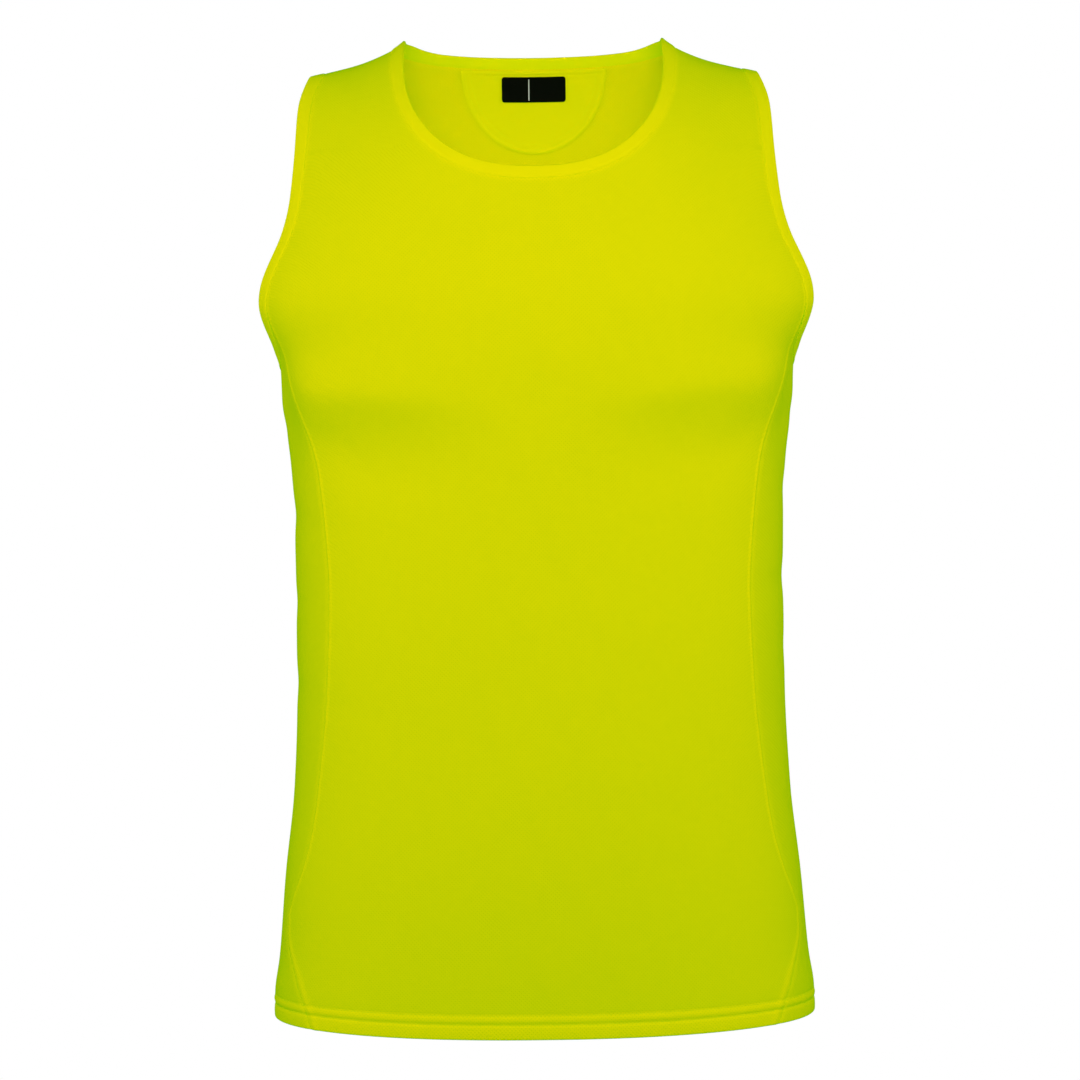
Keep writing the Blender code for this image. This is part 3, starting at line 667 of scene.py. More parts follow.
def half_moon():
    """Outline of the facing: a straight top and a round lower edge."""
    turn = np.linspace(0.0, math.pi, HALF_MOON_POINTS)
    round_edge = np.stack([
        FACING_HALF_WIDTH * np.cos(turn),
        FACING_TOP_Z - FACING_DEPTH * np.sin(turn),
    ], axis=-1)
    top_x = np.linspace(-FACING_HALF_WIDTH, FACING_HALF_WIDTH, 61)[1:-1]
    top = np.stack([top_x, np.full(top_x.shape, FACING_TOP_Z)], axis=-1)
    return np.concatenate([round_edge, top])


def rounded_rectangle():
    """Outline of the label, with points along its straight sides."""
    corner_x = LABEL_WIDTH / 2 - LABEL_CORNER
    low, high = LABEL_TOP_Z - LABEL_HEIGHT + LABEL_CORNER, LABEL_TOP_Z - LABEL_CORNER
    corners = []
    for x, z, start in ((corner_x, high, 0), (-corner_x, high, 90),
                        (-corner_x, low, 180), (corner_x, low, 270)):
        turn = np.radians(np.linspace(start, start + 90, 9))
        arc = [x + LABEL_CORNER * np.cos(turn), z + LABEL_CORNER * np.sin(turn)]
        corners.append(np.stack(arc, axis=-1))
    outline = []
    for arc, following in zip(corners, corners[1:] + corners[:1]):
        gap = np.linalg.norm(following[0] - arc[-1])
        shares = np.linspace(0.0, 1.0, int(gap / 1.5) + 1)[1:-1, None]
        outline += [arc, arc[-1] + shares * (following[0] - arc[-1])]
    return np.concatenate(outline)


# ---- seams

def closed(path):
    """A path that comes back to its first point."""
    return np.concatenate([path, path[:1]])


def along_path(path):
    """Length along a path up to each of its points."""
    return np.concatenate([[0.0], np.cumsum(np.linalg.norm(np.diff(path, axis=0), axis=1))])


def at_lengths(values, along, at):
    """Values given along a path, read at other lengths along it."""
    return np.stack([np.interp(at, along, values[:, axis]) for axis in range(3)], axis=-1)


def spaced(path, step):
    """A path's points at an even spacing."""
    along = along_path(path)
    count = max(int(round(along[-1] / step)), 2)
    return at_lengths(path, along, np.linspace(0.0, along[-1], count + 1))


def measured(points, path):
    """Distance of points from a path, and the length along it up to the nearest place."""
    path = spaced(path, 1.0)
    lengths = along_path(path)
    tree = kdtree.KDTree(len(path))
    for number, point in enumerate(path):
        tree.insert(point, number)
    tree.balance()
    nearest = np.array([tree.find(point)[1] for point in points])
    best, where = np.full(len(points), np.inf), np.zeros(len(points))
    for shift in (-1, 0):
        low = np.clip(nearest + shift, 0, len(path) - 2)
        run = path[low + 1] - path[low]
        share = ((points - path[low]) * run).sum(axis=1) / (run ** 2).sum(axis=1)
        share = np.clip(share, 0.0, 1.0)
        miss = np.linalg.norm(points - path[low] - run * share[:, None], axis=1)
        closer = miss < best
        best = np.where(closer, miss, best)
        where = np.where(closer, lengths[low] + share * (lengths[low + 1] - lengths[low]), where)
    return best, where


def bump(at, middle, reach):
    """A soft hump of height 1."""
    return np.exp(-((at - middle) / reach) ** 2)


def rolls(at, table):
    """The sum of soft humps, each with its height, place and reach."""
    return sum(height * bump(at, middle, reach) for height, middle, reach in table)


def puckers(along):
    """Uneven waves of about 1 mm high, as thread draws cloth up along a seam."""
    swing = 0.65 + 0.35 * np.sin(along / 13.7 + 0.8)
    return swing * sum(high * np.sin(along / long + shift) for high, long, shift in PUCKER_WAVES)


def round_body(points):
    """Length round the body to each point, from the wearer's left."""
    mean_radius = 150.0
    x, y, z = points[:, 0], points[:, 1], points[:, 2]
    return mean_radius * np.arctan2(y / depth(z, y), x / half_width(z))


def hem_sewing(points):
    """Relief of the hem: two stitched rows that pull in, with a roll between them."""
    rise = points[:, 2] - HEM_Z
    drawn_up = 0.14 * puckers(round_body(points)) * bump(rise, BETWEEN_STITCHES, 5.5)
    return rolls(rise, HEM_ROLLS) + drawn_up


def hem_fold(points):
    """How far each skin turns in towards the other at the folded edge."""
    radius = HEM_WALL / 2
    rise = np.clip(points[:, 2] - HEM_Z, 0.0, radius)
    turned = radius - np.sqrt(radius ** 2 - (radius - rise) ** 2)
    return np.minimum(turned, radius - 0.1)


def hem_plies(points):
    """1 where the hem is turned up, 0 above it."""
    return smooth((HEM_Z + HEM_TURN + 0.4 - points[:, 2]) / 0.8)


# ---- shells

def hem_curved(points):
    """Points with the hem lifted towards the sides."""
    share = np.clip(1.0 - (points[:, 2] - HEM_Z) / HEM_RISE_REACH, 0.0, 1.0)
    lifted = points.copy()
    lifted[:, 2] += HEM_RISE * (points[:, 0] / SECTIONS[-1].half_width) ** 2 * share ** 2
    return lifted


def placed(name, data, location=(0.0, 0.0, 0.0), rotation=(0.0, 0.0, 0.0)):
    """A new object in the scene."""
    obj = bpy.data.objects.new(name, data)
    obj.location = location
    obj.rotation_euler = rotation
    bpy.context.collection.objects.link(obj)
    return obj


def new_object(name, vertices, faces, cut, plies, *materials):
    """A mesh with its place in the cut as the map "cut", in metres, and its plies."""
    mesh = bpy.data.meshes.new(name)
    mesh.from_pydata((hem_curved(vertices) * MM).tolist(), [], faces)
    mesh.shade_smooth()
    mesh.set_sharp_from_angle(angle=math.radians(50))
    corner = np.zeros(len(mesh.loops), np.int32)
    mesh.loops.foreach_get("vertex_index", corner)
    layer = mesh.uv_layers.new(name="cut")
    layer.data.foreach_set("uv", (cut[corner] * MM).astype(np.float32).ravel())
    values = mesh.attributes.new("plies", "FLOAT", "POINT")
    values.data.foreach_set("value", np.broadcast_to(plies, len(vertices)).astype(np.float32))
    for material in materials:
        mesh.materials.append(material)
    return placed(name, mesh)


def shell(name, sheet, materials, thickness, lift=0.0, outside=0.0, inside=0.0, plies=0.0):
    """A closed thin shell on a sheet. outside and inside raise its two skins; a second
    material goes on the inner one."""
    sheet.faces = facing_out(sheet.points, sheet.faces)
    points = drawn_in(sheet.points, sheet.faces, SEAM_SLIT / 2)
    normal = outward(points)
    base = relief(points) + lift
    outer = points + normal * (base + outside)[:, None]
    inner = points + normal * (base - thickness - inside)[:, None]
    count = len(points)
    turned = [[corner + count for corner in reversed(face)] for face in sheet.faces]
    rim = [[end, start, start + count, end + count] for start, end in border(sheet.faces)]
    faces = sheet.faces + turned + rim
    cut = np.vstack([sheet.cut, sheet.cut])
    plies = np.tile(np.broadcast_to(plies, count), 2)
    obj = new_object(name, np.vstack([outer, inner]), faces, cut, plies, *materials)
    if len(materials) > 1:
        skin = np.zeros(len(faces), np.int32)
        skin[len(sheet.faces):len(sheet.faces) + len(turned)] = 1
        obj.data.polygons.foreach_set("material_index", skin)
    return obj


def binding_profile(width):
    """Places across a folded binding and their heights, round its whole section."""
    middle, thick = -CLOTH / 2, CLOTH / 2 + BINDING_RISE
    at = np.array([0.0, 0.25, 0.5, 0.8, 1.1, 1.5, 2.1, 2.9, 3.8, 4.8, 5.8])
    edge = width - np.array([2.2, 1.6, 1.1, 0.8, 0.5, 0.28, 0.1])
    at = np.concatenate([at[at < edge[0] - 0.4], edge])
    from_edge = np.clip(width - at, 0.0, thick)
    round_edge = np.sqrt(thick ** 2 - (thick - from_edge) ** 2)
    sewn_in = 1.0 - 0.30 * bump(at, 0.0, 0.9)
    crown = 1.0 + 0.10 * np.sin(np.clip(at / width, 0, 1) * math.pi)
    half = round_edge * sewn_in * crown
    top = [(a, middle + h) for a, h in zip(at, half)]
    low = [(a, middle - h) for a, h in zip(at[::-1], half[::-1])]
    return top + [(width, middle)] + low


def rib(name, seam, width, material, widening=None):
    """A closed folded band round an opening, from its seam to the free edge."""
    seam = spaced(closed(seam), RIB_STEP)[:-1]
    wider = widening(seam)[:, None] if widening else 1.0
    ahead = np.roll(seam, -1, axis=0) - np.roll(seam, 1, axis=0)
    towards = np.cross(outward(seam), ahead)
    middle = seam.mean(axis=0)
    if ((middle - seam) * towards).sum() < 0:
        towards = -towards
    along = along_path(seam)
    profile = binding_profile(width)
    places, points, before = {}, slide(seam, towards, SEAM_SLIT / 2), 0.0
    for reach in sorted({reach for reach, _ in profile}):
        points = slide(points, towards, (reach - before) * wider, 1) if reach else points
        places[reach], before = points, reach
    rows, cut = [], []
    for reach, height in profile:
        points = places[reach]
        drawn_up = 0.10 * puckers(along) * bump(reach, 0.0, 3.5)
        lift = relief(points) + height + drawn_up
        rows.append(points + outward(points) * lift[:, None])
        cut.append(np.stack([along, np.full(len(seam), reach + 0.2 * height)], axis=-1))
    vertices = np.stack(rows, axis=1)
    flat = vertices.reshape(-1, 3)
    number = np.arange(len(flat)).reshape(vertices.shape[:2])
    faces = facing_out(flat, quads(np.pad(number, (0, 1), mode="wrap").T))
    cut = np.stack(cut, axis=1).reshape(-1, 2)
    return new_object(name, flat, faces, cut, 1.0, material)


def stitches(name, runs, material, pitch, thread=0.22):
    """Short threads laid end to end along runs, each a path with its outward normals."""
    random = np.random.default_rng(len(name))
    stations = np.linspace(0.0, 1.0, 5)
    spokes = np.radians(np.arange(0, 360, 60))
    vertices, faces, first = [], [], 0
    for path, normal in runs:
        along = along_path(path)
        count = max(int(along[-1] / pitch), 1)
        starts = along[-1] * (np.arange(count) + 0.5) / count
        half = pitch * STITCH_HALF * (1.0 + STITCH_UNEVEN * random.standard_normal(count))
        at = starts[:, None] + half[:, None] * (2.0 * stations - 1.0)
        lie = at_lengths(path, along, at)
        up = unit(at_lengths(normal, along, at))
        ahead = unit(np.gradient(lie, axis=1))
        across = unit(np.cross(ahead, up))
        arch = np.sin(stations * math.pi)
        radius = thread * (STITCH_END + (1.0 - STITCH_END) * np.sqrt(arch))
        lie = lie + up * ((STITCH_SLACK + thread) * arch - thread * STITCH_SUNK)[None, :, None]
        ring = (
            across[:, :, None, :] * np.cos(spokes)[:, None]
            + up[:, :, None, :] * np.sin(spokes)[:, None]
        )
        points = lie[:, :, None, :] + ring * radius[None, :, None, None]
        number = first + np.arange(points.size // 3).reshape(points.shape[:-1])
        first += points.size // 3
        vertices.append(points.reshape(-1, 3))
        turned = np.roll(number, -1, axis=2)
        corners = [number[:, :-1], turned[:, :-1], turned[:, 1:], number[:, 1:]]
        faces += np.stack([corner.ravel() for corner in corners], axis=-1).tolist()
        faces += number[:, 0, ::-1].tolist() + number[:, -1].tolist()
    vertices = np.concatenate(vertices)
    return new_object(name, vertices, faces, vertices[:, [0, 2]], 1.0, material)


# ---- materials

# Colours are linear. A painted green glow (emission) adds green to those of the cloth and thread,
# the same in light and in shade.
SINGLE_PLY = (0.690, 0.350, 0.0004)
DOUBLE_PLY = (0.815, 0.402, 0.0004)
EYELET = (0.540, 0.295, 0.0004)
TRIM = (0.770, 0.388, 0.0004)
TRIM_LOW = (0.710, 0.362, 0.0004)
THREAD = (0.750, 0.385, 0.001)
THREAD_LOW = [0.86 * share for share in THREAD]
FILM = (0.0012, 0.0012, 0.0013)
FILM_LOW = (0.0002, 0.0002, 0.0002)
PRINT = (0.7, 0.7, 0.7)
PRINT_LOW = (0.55, 0.55, 0.55)
WHITE = (1.0, 1.0, 1.0)
BLACK = (0.0, 0.0, 0.0, 1.0)
SIDE_PAINTED_SHADE = 0.90            # painted shade: the side panels' cloth darker than the front's, for the shade on the sides
# painted glow: a green emission on the cloth and thread, alike in light and in shade
PAINTED_GLOW = (0.0, 1.0, 0.0)
PAINTED_GLOW_STRENGTH = 0.335
PAINTED_GLOW_THROUGH = (0.20, 1.0, 0.0)     # painted glow inside the vest, in place of light that comes through the cloth
PAINTED_GLOW_INSIDE = 0.29
CLOTH_IOR = 1.2
EYELET_PITCH = 2.6          # from one eyelet to the next in its row
WALE_PITCH = 0.65           # width of a column of knit loops
COURSE_PITCH = WALE_PITCH * 1.3


class Surface:
    """A material, with short ways to lay out its nodes."""

    def __init__(self, name, roughness, specular, glow=WHITE, strength=0.0, ior=CLOTH_IOR):
        self.material = bpy.data.materials.new(name)
        self.material.use_nodes = True
        self.tree = self.material.node_tree
        self.inputs = self.tree.nodes["Principled BSDF"].inputs
        self.inputs["Roughness"].default_value = roughness
        self.inputs["Specular IOR Level"].default_value = specular
        self.inputs["IOR"].default_value = ior
        self.inputs["Emission Color"].default_value = (*glow, 1.0)
        self.inputs["Emission Strength"].default_value = strength

    def join(self, value, socket):
        """Links an output to a socket, or sets the socket to a value."""
        if isinstance(value, bpy.types.NodeSocket):
            self.tree.links.new(value, socket)
        else:
            socket.default_value = value

    def node(self, kind, inputs=None, **settings):
        """The outputs of a new node, with its inputs set or linked by name or number."""
        made = self.tree.nodes.new(kind)
        for key, value in settings.items():
            setattr(made, key, value)
        for key, value in (inputs or {}).items():
            self.join(value, made.inputs[key])
        return made.outputs

    def math(self, operation, one, two=0.0):
        return self.node("ShaderNodeMath", {0: one, 1: two}, operation=operation)[0]

    def times(self, one, two):
        return self.math("MULTIPLY", one, two)

    def blend(self, share, one, two):
        """One colour turning to another with a share."""
        mix = self.tree.nodes.new("ShaderNodeMix")
        mix.data_type = "RGBA"
        self.join(share, mix.inputs["Factor"])
        for key, value in (("A", one), ("B", two)):
            socket = next(s for s in mix.inputs if s.name == key and s.type == "RGBA")
            self.join((*value, 1.0) if isinstance(value, (tuple, list)) else value, socket)
        return next(s for s in mix.outputs if s.type == "RGBA")

    def cut_places(self):
        """Lengths across and up the cut, in metres."""
        place = self.node("ShaderNodeUVMap", uv_map="cut")[0]
        parts = self.node("ShaderNodeSeparateXYZ", {0: place})
        return parts[0], parts[1]

    def wave(self, length, pitch):
        """A cosine with a wavelength of pitch, along a length in metres."""
        return self.math("COSINE", self.times(length, 2.0 * math.pi / (pitch * MM)))

    def noise(self, scale, detail=2.0):
        """Soft noise in the object's own space, from 0 to 1."""
        inputs = {"Scale": scale, "Detail": detail}
        inputs["Vector"] = self.node("ShaderNodeTexCoord")["Object"]
        return self.node("ShaderNodeTexNoise", inputs)["Fac"]

    def finish(self, colour, height=None, strength=0.0, depth=0.0):
        """Sets the colour and, where asked, a fine relief with its depth in mm."""
        self.join(colour, self.inputs["Base Color"])
        if height is not None:
            fine = {"Height": height, "Strength": strength, "Distance": depth * MM}
            self.join(self.node("ShaderNodeBump", fine)[0], self.inputs["Normal"])
        return self.material


def mesh_knit(name, painted_shade=1.0, glow=PAINTED_GLOW, strength=PAINTED_GLOW_STRENGTH):
    """Bird's-eye knit: staggered eyelets between fine columns of loops."""
    # the cloth's emission is a painted green glow
    made = Surface(name, roughness=0.92, specular=0.04, glow=glow, strength=strength)
    across, up = made.cut_places()
    lattice = made.times(made.wave(across, EYELET_PITCH), made.wave(up, EYELET_PITCH))
    span = {"Value": lattice, "From Min": 0.25, "From Max": 0.95}
    eyelet = made.node("ShaderNodeMapRange", span, interpolation_type="SMOOTHSTEP")[0]
    uneven, cloud = made.noise(26.0, 3.0), made.noise(7.0)
    plies = made.node("ShaderNodeAttribute", attribute_name="plies")["Fac"]
    # the colour is darkened by the share given; on the side panels that is painted shade
    cloth = made.blend(plies, [c * painted_shade for c in SINGLE_PLY], [c * painted_shade for c in DOUBLE_PLY])
    shade = made.math("ADD", made.times(uneven, 0.10), made.times(cloud, 0.14))
    cloth = made.blend(shade, cloth, EYELET)
    colour = made.blend(made.times(eyelet, 0.42), cloth, EYELET)
    loops = made.times(made.wave(across, WALE_PITCH), made.wave(up, COURSE_PITCH))
    height = made.math("SUBTRACT", made.times(loops, 0.12), eyelet)
    return made.finish(colour, height, strength=0.55, depth=0.22)


def smooth_knit(name, pitch, relief_share, strength=PAINTED_GLOW_STRENGTH):
    """Plain fine knit, with the V of its loops in columns."""
    # the knit's emission is a painted green glow
    made = Surface(name, roughness=0.85, specular=0.05, glow=PAINTED_GLOW, strength=strength)
    across, up = made.cut_places()
    columns = made.wave(up, pitch)
    slant = made.math("ADD", across, made.math("ABSOLUTE", made.times(columns, 0.25 * MM)))
    loops = made.times(made.wave(slant, pitch * 0.8), 0.5)
    height = made.math("ADD", columns, loops)
    span = {"Value": height, "From Min": -1.5, "From Max": 1.0}
    share = made.node("ShaderNodeMapRange", span)[0]
    cloud = made.times(made.noise(9.0), 0.35)
    base = made.blend(share, [(a + b) / 2 for a, b in zip(TRIM_LOW, TRIM)], TRIM)
    colour = made.blend(cloud, base, TRIM_LOW)
    return made.finish(colour, height, strength=relief_share, depth=0.10)


def sewing_thread(name):
    """Polyester thread with its twist."""
    # the thread's emission is a painted green glow
    made = Surface(name, roughness=0.6, specular=0.25, glow=PAINTED_GLOW, strength=PAINTED_GLOW_STRENGTH)
    place = made.node("ShaderNodeTexCoord")["Object"]
    twist = made.node("ShaderNodeTexWave", {"Vector": place, "Scale": 900.0, "Distortion": 1.0},
                      bands_direction="DIAGONAL")["Fac"]
    return made.finish(made.blend(twist, THREAD_LOW, THREAD))


def black_film(name):
    """Heat-pressed film, faintly grained."""
    made = Surface(name, roughness=0.5, specular=0.3)
    grain = made.noise(900.0, 4.0)
    return made.finish(made.blend(grain, FILM_LOW, FILM), grain, strength=0.25, depth=0.05)


def pale_print(name):
    made = Surface(name, roughness=0.6, specular=0.2)
    return made.finish(made.blend(made.noise(600.0), PRINT_LOW, PRINT))


def lit_white(name):
    """A surface that is white in itself and takes no light."""
    made = Surface(name, roughness=1.0, specular=0.0, glow=WHITE, strength=1.0, ior=1.5)
    return made.finish(BLACK)


# ---- the vest

FACING_ROWS = ((3.4, 0.30), (7.4, 0.22))    # stitched rows: inside the edge, and how deep
DIVIDER_X = -3.6            # printed line across the label
DIVIDER_WIDTH = 0.7
DIVIDER_WALL = 0.1
DIVIDER_MARGIN = 1.4        # from the line's ends to the label's long sides
STITCH_PITCH = 2.9          # stitches of the hem
STITCH_SLACK = 0.05         # how far the middle of a stitch stands off the cloth
STITCH_HALF = 0.43          # half a stitch's length, as a share of the pitch
STITCH_UNEVEN = 0.06        # how uneven the lengths are
STITCH_END = 0.45           # the thread's thickness where it enters the cloth, as a share
STITCH_SUNK = 0.6           # how deep its ends lie, as a share of its half thickness
FACING_PITCH = 2.4          # stitches of the facing
FACING_THREAD = 0.16        # half the thickness of the facing's thread

# What a seam does to the cloth beside it: rolls and grooves, puckers, and doubled plies,
# each as height or share, distance from the seam, and reach
SeamKind = namedtuple("SeamKind", "rolls pucker plies widens")
SIDE_SEAM_OVER = SeamKind([(0.55, 1.5, 1.1)], (0.14, 1.0, 4.0), (1.0, 1.1, 1.3), True)
SIDE_SEAM_UNDER = SeamKind([(-0.75, 0.6, 2.2)], (0.12, 1.0, 4.0), (0.0, 0.0, 1.0), False)
OPENING = SeamKind([(-0.12, 0.0, 1.2)], (0.16, 1.5, 4.5), (0.7, 0.0, 2.0), False)
SHOULDER = SeamKind([(0.30, 1.6, 1.0), (-0.25, 0.0, 0.6)], (0.10, 1.0, 3.5), (0.9, 1.4, 1.6),
                    False)
LOW_SEAM_GAIN = 1.3         # how much wider a seam that widens is near the hem
LOW_SEAM_TOP = 90.0         # height over the hem where it starts to widen
LOW_SEAM_FADE = 70.0        # height over which it widens


def seam_detail(points, seams):
    """Relief and plies of a panel at its hem and beside seams, each with its kind."""
    height = hem_sewing(points)
    plies = hem_plies(points)
    low = 1.0 + LOW_SEAM_GAIN * smooth((HEM_Z + LOW_SEAM_TOP - points[:, 2]) / LOW_SEAM_FADE)
    for kind, seam in seams:
        away, along = measured(points, seam)
        wide = low if kind.widens else 1.0
        for rise, at, reach in kind.rolls:
            height += rise * bump(away, at * wide, reach * wide)
        rise, at, reach = kind.pucker
        height += rise * puckers(along) * bump(away, at, reach)
        share, at, reach = kind.plies
        plies = np.maximum(plies, share * bump(away, at * wide, reach * wide))
    return height, plies


def hemmed_shell(name, sheet, materials, seams):
    """A panel with its hem turned up inside and the folded edge rounded."""
    height, plies = seam_detail(sheet.points, seams)
    fold = hem_fold(sheet.points)
    turned_up = hem_plies(sheet.points)
    thickness = CLOTH + (HEM_WALL - CLOTH) * turned_up
    return shell(name, sheet, materials, thickness,
                 outside=height - fold, inside=-fold, plies=plies)


def ring_path(rise):
    """A level path round the whole hem at a height over its folded edge."""
    z = HEM_Z + rise
    turn = np.linspace(0.0, 2.0 * math.pi, 1441)
    c, s = np.cos(turn), np.sin(turn)
    x = half_width(z) * np.sign(c) * np.abs(c) ** (2.0 / ROUNDNESS)
    y = depth(z, s) * np.sign(s) * np.abs(s) ** (2.0 / ROUNDNESS)
    return spaced(np.stack([x, y, np.full(x.shape, z)], axis=-1), RING_STEP)


def laid_on(path, height):
    """A path moved out to a height over the form, with its normals."""
    normal = outward(path)
    return path + normal * (relief(path) + height)[:, None], normal


def seam_stitch_path(seam, towards, reach):
    """A path at a distance beside a seam."""
    seam = spaced(seam, 1.0)
    ahead = np.gradient(seam, axis=0)
    across = np.cross(outward(seam), ahead)
    across *= np.sign(((towards - seam) * across).sum(axis=1))[:, None]
    return slide(seam, across, reach)


def build_vest():
    # The inner skins and the facing take a weaker painted glow, in place of light that comes
    # through the cloth
    inner = mesh_knit("mesh_knit_inside_painted_glow", glow=PAINTED_GLOW_THROUGH, strength=PAINTED_GLOW_INSIDE)
    yellow = (mesh_knit("mesh_knit"), inner)
    # the side panels' cloth is darkened: painted shade
    yellow_side_painted_shade = (mesh_knit("mesh_knit_side", painted_shade=SIDE_PAINTED_SHADE), inner)
    trim = smooth_knit("binding_knit", pitch=0.9, relief_share=0.35)
    facing_knit = smooth_knit("facing_knit", pitch=0.8, relief_share=0.30, strength=PAINTED_GLOW_INSIDE)
    thread = sewing_thread("thread")
    film = black_film("label_film")

    front, front_neck, front_armholes = front_sheet()
    back, back_neck, back_armholes = back_sheet()
    sides = {side: side_sheet(side) for side in (LEFT, RIGHT)}
    neck = np.concatenate([front.points[front_neck], back.points[back_neck[-2:0:-1]]])
    armholes, side_seams, shoulders = {}, {}, []
    shoulder_x = np.linspace(NECK_HALF_WIDTH, SHOULDER_END_X, 40)
    levels = np.linspace(HEM_Z, SIDE_SEAM_TOP_Z, 260)
    for side in (LEFT, RIGHT):
        sheet, top = sides[side]
        armholes[side] = np.concatenate([
            front.points[front_armholes[side][::-1]],
            sheet.points[top[1:-1]],
            back.points[back_armholes[side][:-1]],
        ])
        for face in (FRONT, BACK):
            side_seams[side, face] = on_side(face * seam_reach(face)(levels), levels, side)
        shoulders.append((SHOULDER, on_face(side * shoulder_x, ridge_height(shoulder_x), BACK)))
    openings = {side: (OPENING, closed(armhole)) for side, armhole in armholes.items()}
    all_openings = [*openings.values(), (OPENING, closed(neck))]

    made = {}
    for word, sheet, face, over in (("front", front, FRONT, []), ("back", back, BACK, shoulders)):
        seams = [(SIDE_SEAM_OVER, side_seams[side, face]) for side in (LEFT, RIGHT)]
        seams += all_openings + over
        made[word + "_panel"] = hemmed_shell(word + "_cloth", sheet, yellow, seams)
    made["neck_binding"] = rib("neck_rib", neck, NECK_BINDING, trim, neck_widening)
    for side, word in ((LEFT, "left"), (RIGHT, "right")):
        sheet, name = sides[side][0], "side_cloth_" + word
        seams = [(SIDE_SEAM_UNDER, side_seams[side, face]) for face in (FRONT, BACK)]
        seams.append(openings[side])
        made["side_panel_" + word] = hemmed_shell(name, sheet, yellow_side_painted_shade, seams)
        name = "armhole_rib_" + word
        made["armhole_binding_" + word] = rib(name, armholes[side], ARMHOLE_BINDING, trim)

    made["neck_facing"] = build_facing(facing_knit)
    made["label"] = build_label(film)
    hem_rows = []
    for rise in (LOWER_STITCHES, UPPER_STITCHES):
        path = ring_path(rise)
        hem_rows.append(laid_on(path, hem_sewing(path)))
    sewing = {
        "front_panel": stitches("hem_stitches", hem_rows, thread, STITCH_PITCH),
        "neck_facing": stitches("facing_stitches", facing_rows(), thread, FACING_PITCH,
                                FACING_THREAD),
        "label": build_divider(pale_print("label_print")),
    }
    return made, sewing


def build_facing(material):
    """The half-moon inside the back neck, with a rolled and twice stitched border."""
    outline = half_moon()
    middle = np.array([0.0, FACING_TOP_Z - FACING_DEPTH * 0.45])
    sheet = ringed(outline, middle)
    path = on_face(outline[:, 0], outline[:, 1], BACK)
    away, along = measured(sheet.points, closed(path))
    inside = (
        rolls(away, [(0.32, 1.6, 1.3)] + [(-recess, reach, 0.8) for reach, recess in FACING_ROWS])
        + 0.10 * puckers(along) * bump(away, 4.0, 4.0)
    )
    lift = -CLOTH - FACING_CLEARANCE
    return shell("facing_cloth", sheet, [material], FACING_WALL, lift, inside=inside, plies=1.0)


def facing_rows():
    """The stitched rows along the facing's round edge, with normals into the neck."""
    round_edge = half_moon()[:HALF_MOON_POINTS]
    edge = on_face(round_edge[:, 0], round_edge[:, 1], BACK)
    middle = on_face(0.0, FACING_TOP_Z - FACING_DEPTH * 0.3, BACK)
    skin = -CLOTH - FACING_CLEARANCE - FACING_WALL
    rows = []
    for reach, recess in FACING_ROWS:
        path, normal = laid_on(seam_stitch_path(edge, middle, reach), skin + recess)
        rows.append((path, -normal))
    return rows


def build_divider(material):
    """A thin pale line across the label, printed on its face."""
    low = LABEL_TOP_Z - LABEL_HEIGHT + DIVIDER_MARGIN
    high = LABEL_TOP_Z - DIVIDER_MARGIN
    x = DIVIDER_X + DIVIDER_WIDTH * np.linspace(-0.5, 0.5, 4)
    z = np.linspace(low, high, 25)
    sheet = Sheet()
    sheet.fill(sheet.add(on_face(x[None, :], z[:, None], BACK)))
    sheet.cut = sheet.points[:, [0, 2]]
    lift = -CLOTH - FACING_CLEARANCE - FACING_WALL - LABEL_CLEARANCE - LABEL_WALL
    return shell("label_divider", sheet, [material], DIVIDER_WALL, lift + SEAM_SLIT / 2)


def build_label(material):
    outline = rounded_rectangle()
    middle = np.array([0.0, LABEL_TOP_Z - LABEL_HEIGHT / 2])
    sheet = ringed(outline, middle)
    lift = -CLOTH - FACING_CLEARANCE - FACING_WALL - LABEL_CLEARANCE
    return shell("label_patch", sheet, [material], LABEL_WALL, lift, plies=1.0)


# ---- the studio

CAMERA_DISTANCE = 2000.0
CAMERA_X = 0.6
CAMERA_Z = -349.6
CAMERA_ROLL = 0.7           # degrees
FRAME_WIDTH = 759.8         # width of the view at the middle of the body
SENSOR = 36.0

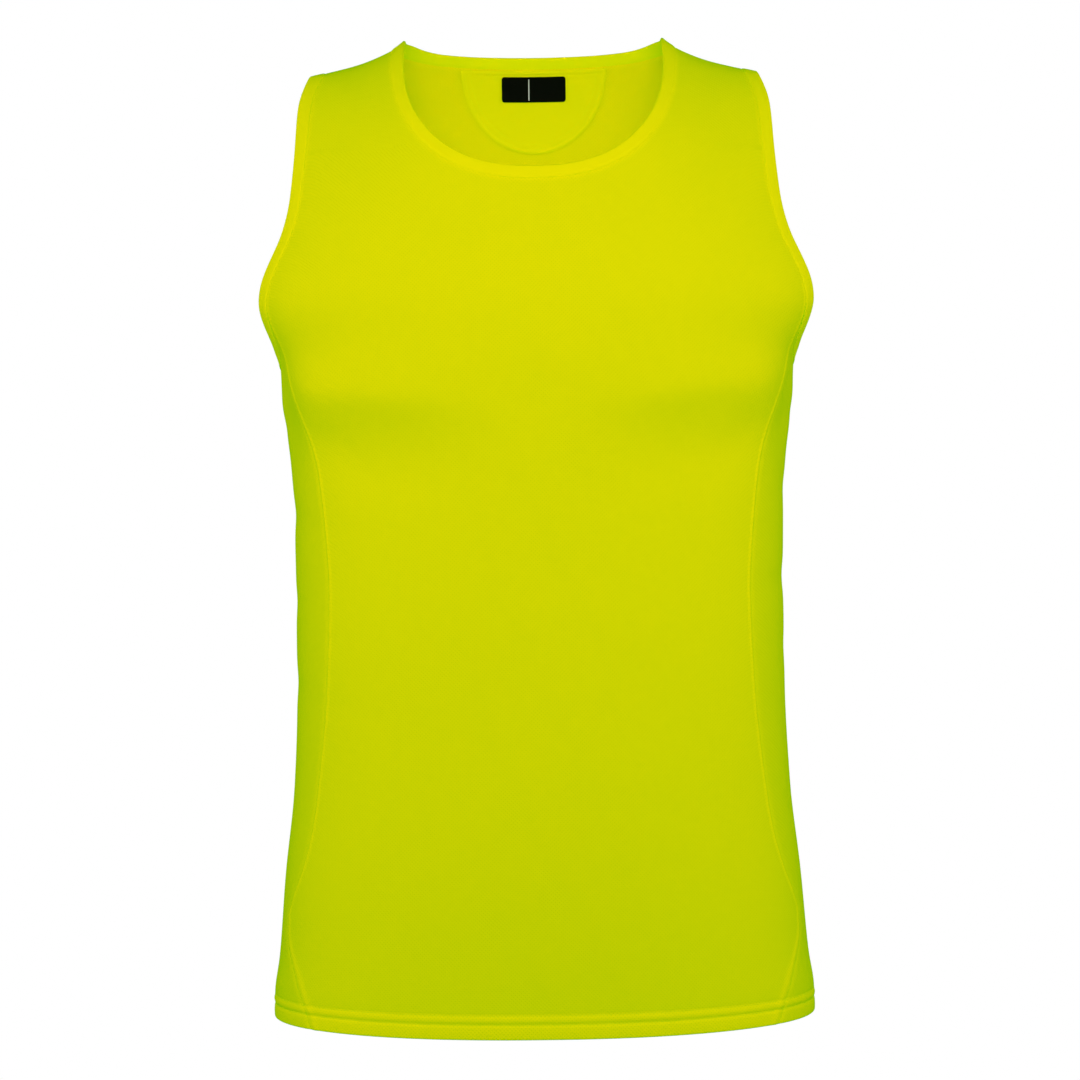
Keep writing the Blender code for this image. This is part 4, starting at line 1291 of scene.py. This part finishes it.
DOME_RADIUS = 9.0           # in metres, as the floor's sizes are
FLOOR_SIZE = 14.0
FLOOR_Z = -0.80
FILL = 0.03                 # brightness of the light from all round
Light = namedtuple("Light", "name x y z aim size power spread")
LIGHTS = [                  # places and sizes in metres, the spread of the beam in degrees
    Light("front", 0.0, -1.5, 0.05, (0.0, 0.0, -0.15), 0.6, 15.7, 180),
    Light("front_low", 0.0, -0.8, -0.05, (0.0, 0.0, -0.12), 0.4, 0.95, 180),
    Light("collar_left", -0.25, -1.2, 0.02, (0.074, 0.1, -0.005), 0.1, 0.0042, 8),
    Light("collar_right", 0.25, -1.2, 0.02, (-0.074, 0.1, -0.005), 0.1, 0.0042, 8),
    Light("left", 1.3, -0.25, -0.15, (0.1, 0.0, -0.35), 0.8, 7.1, 180),
    Light("right", -1.3, -0.25, -0.15, (-0.1, 0.0, -0.35), 0.8, 7.1, 180),
    Light("back", 0.0, 1.5, 0.06, (0.0, 0.0, -0.2), 0.6, 21.0, 180),
]


def build_camera():
    camera = bpy.data.cameras.new("camera")
    camera.sensor_width = SENSOR
    camera.lens = SENSOR * CAMERA_DISTANCE / FRAME_WIDTH
    camera.clip_end = 60.0
    place = (CAMERA_X * MM, -CAMERA_DISTANCE * MM, CAMERA_Z * MM)
    turn = (math.pi / 2, math.radians(CAMERA_ROLL), 0.0)
    bpy.context.scene.camera = placed("camera", camera, place, turn)


def soft_light(made):
    """A square soft light that looks at its aim."""
    light = bpy.data.lights.new(made.name, "AREA")
    light.shape = "SQUARE"
    light.size = made.size
    light.energy = made.power
    light.spread = math.radians(made.spread)
    place = Vector((made.x, made.y, made.z))
    turn = (Vector(made.aim) - place).to_track_quat("-Z", "Y").to_euler()
    placed(made.name, light, place, turn).visible_camera = False


def build_studio():
    """A white floor and dome that the camera sees and that cast no light of their own."""
    bpy.ops.mesh.primitive_uv_sphere_add(segments=48, ring_count=24, radius=DOME_RADIUS)
    dome = bpy.context.object
    bpy.ops.mesh.primitive_plane_add(size=FLOOR_SIZE, location=(0.0, 0.0, FLOOR_Z))
    floor = bpy.context.object
    for name, obj in (("backdrop", dome), ("floor", floor)):
        obj.name = name
        obj.data.materials.append(lit_white(name))
        obj.visible_diffuse = False
        obj.visible_glossy = False
        obj.visible_shadow = False
    world = bpy.data.worlds.new("studio")
    world.use_nodes = True
    sky = world.node_tree.nodes["Background"]
    sky.inputs["Color"].default_value = (*WHITE, 1.0)
    sky.inputs["Strength"].default_value = FILL
    bpy.context.scene.world = world
    for light in LIGHTS:
        soft_light(light)
    bpy.context.scene.view_settings.view_transform = "Standard"


# ---- putting it together

# A record, which nothing here fills, for the material of a piece and the flat cut of what
# shows of it: width and length in metres, area in square metres where the cut isn't a
# rectangle, and what the piece hangs from or lies on.
Cut = namedtuple("Cut", "slot width length area held rests_on")

build_camera()
made, sewing = build_vest()
for node, piece in made.items():
    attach(piece, BODY)
    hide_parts(node)
for node, piece in sewing.items():
    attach(piece, BODY)
build_studio()
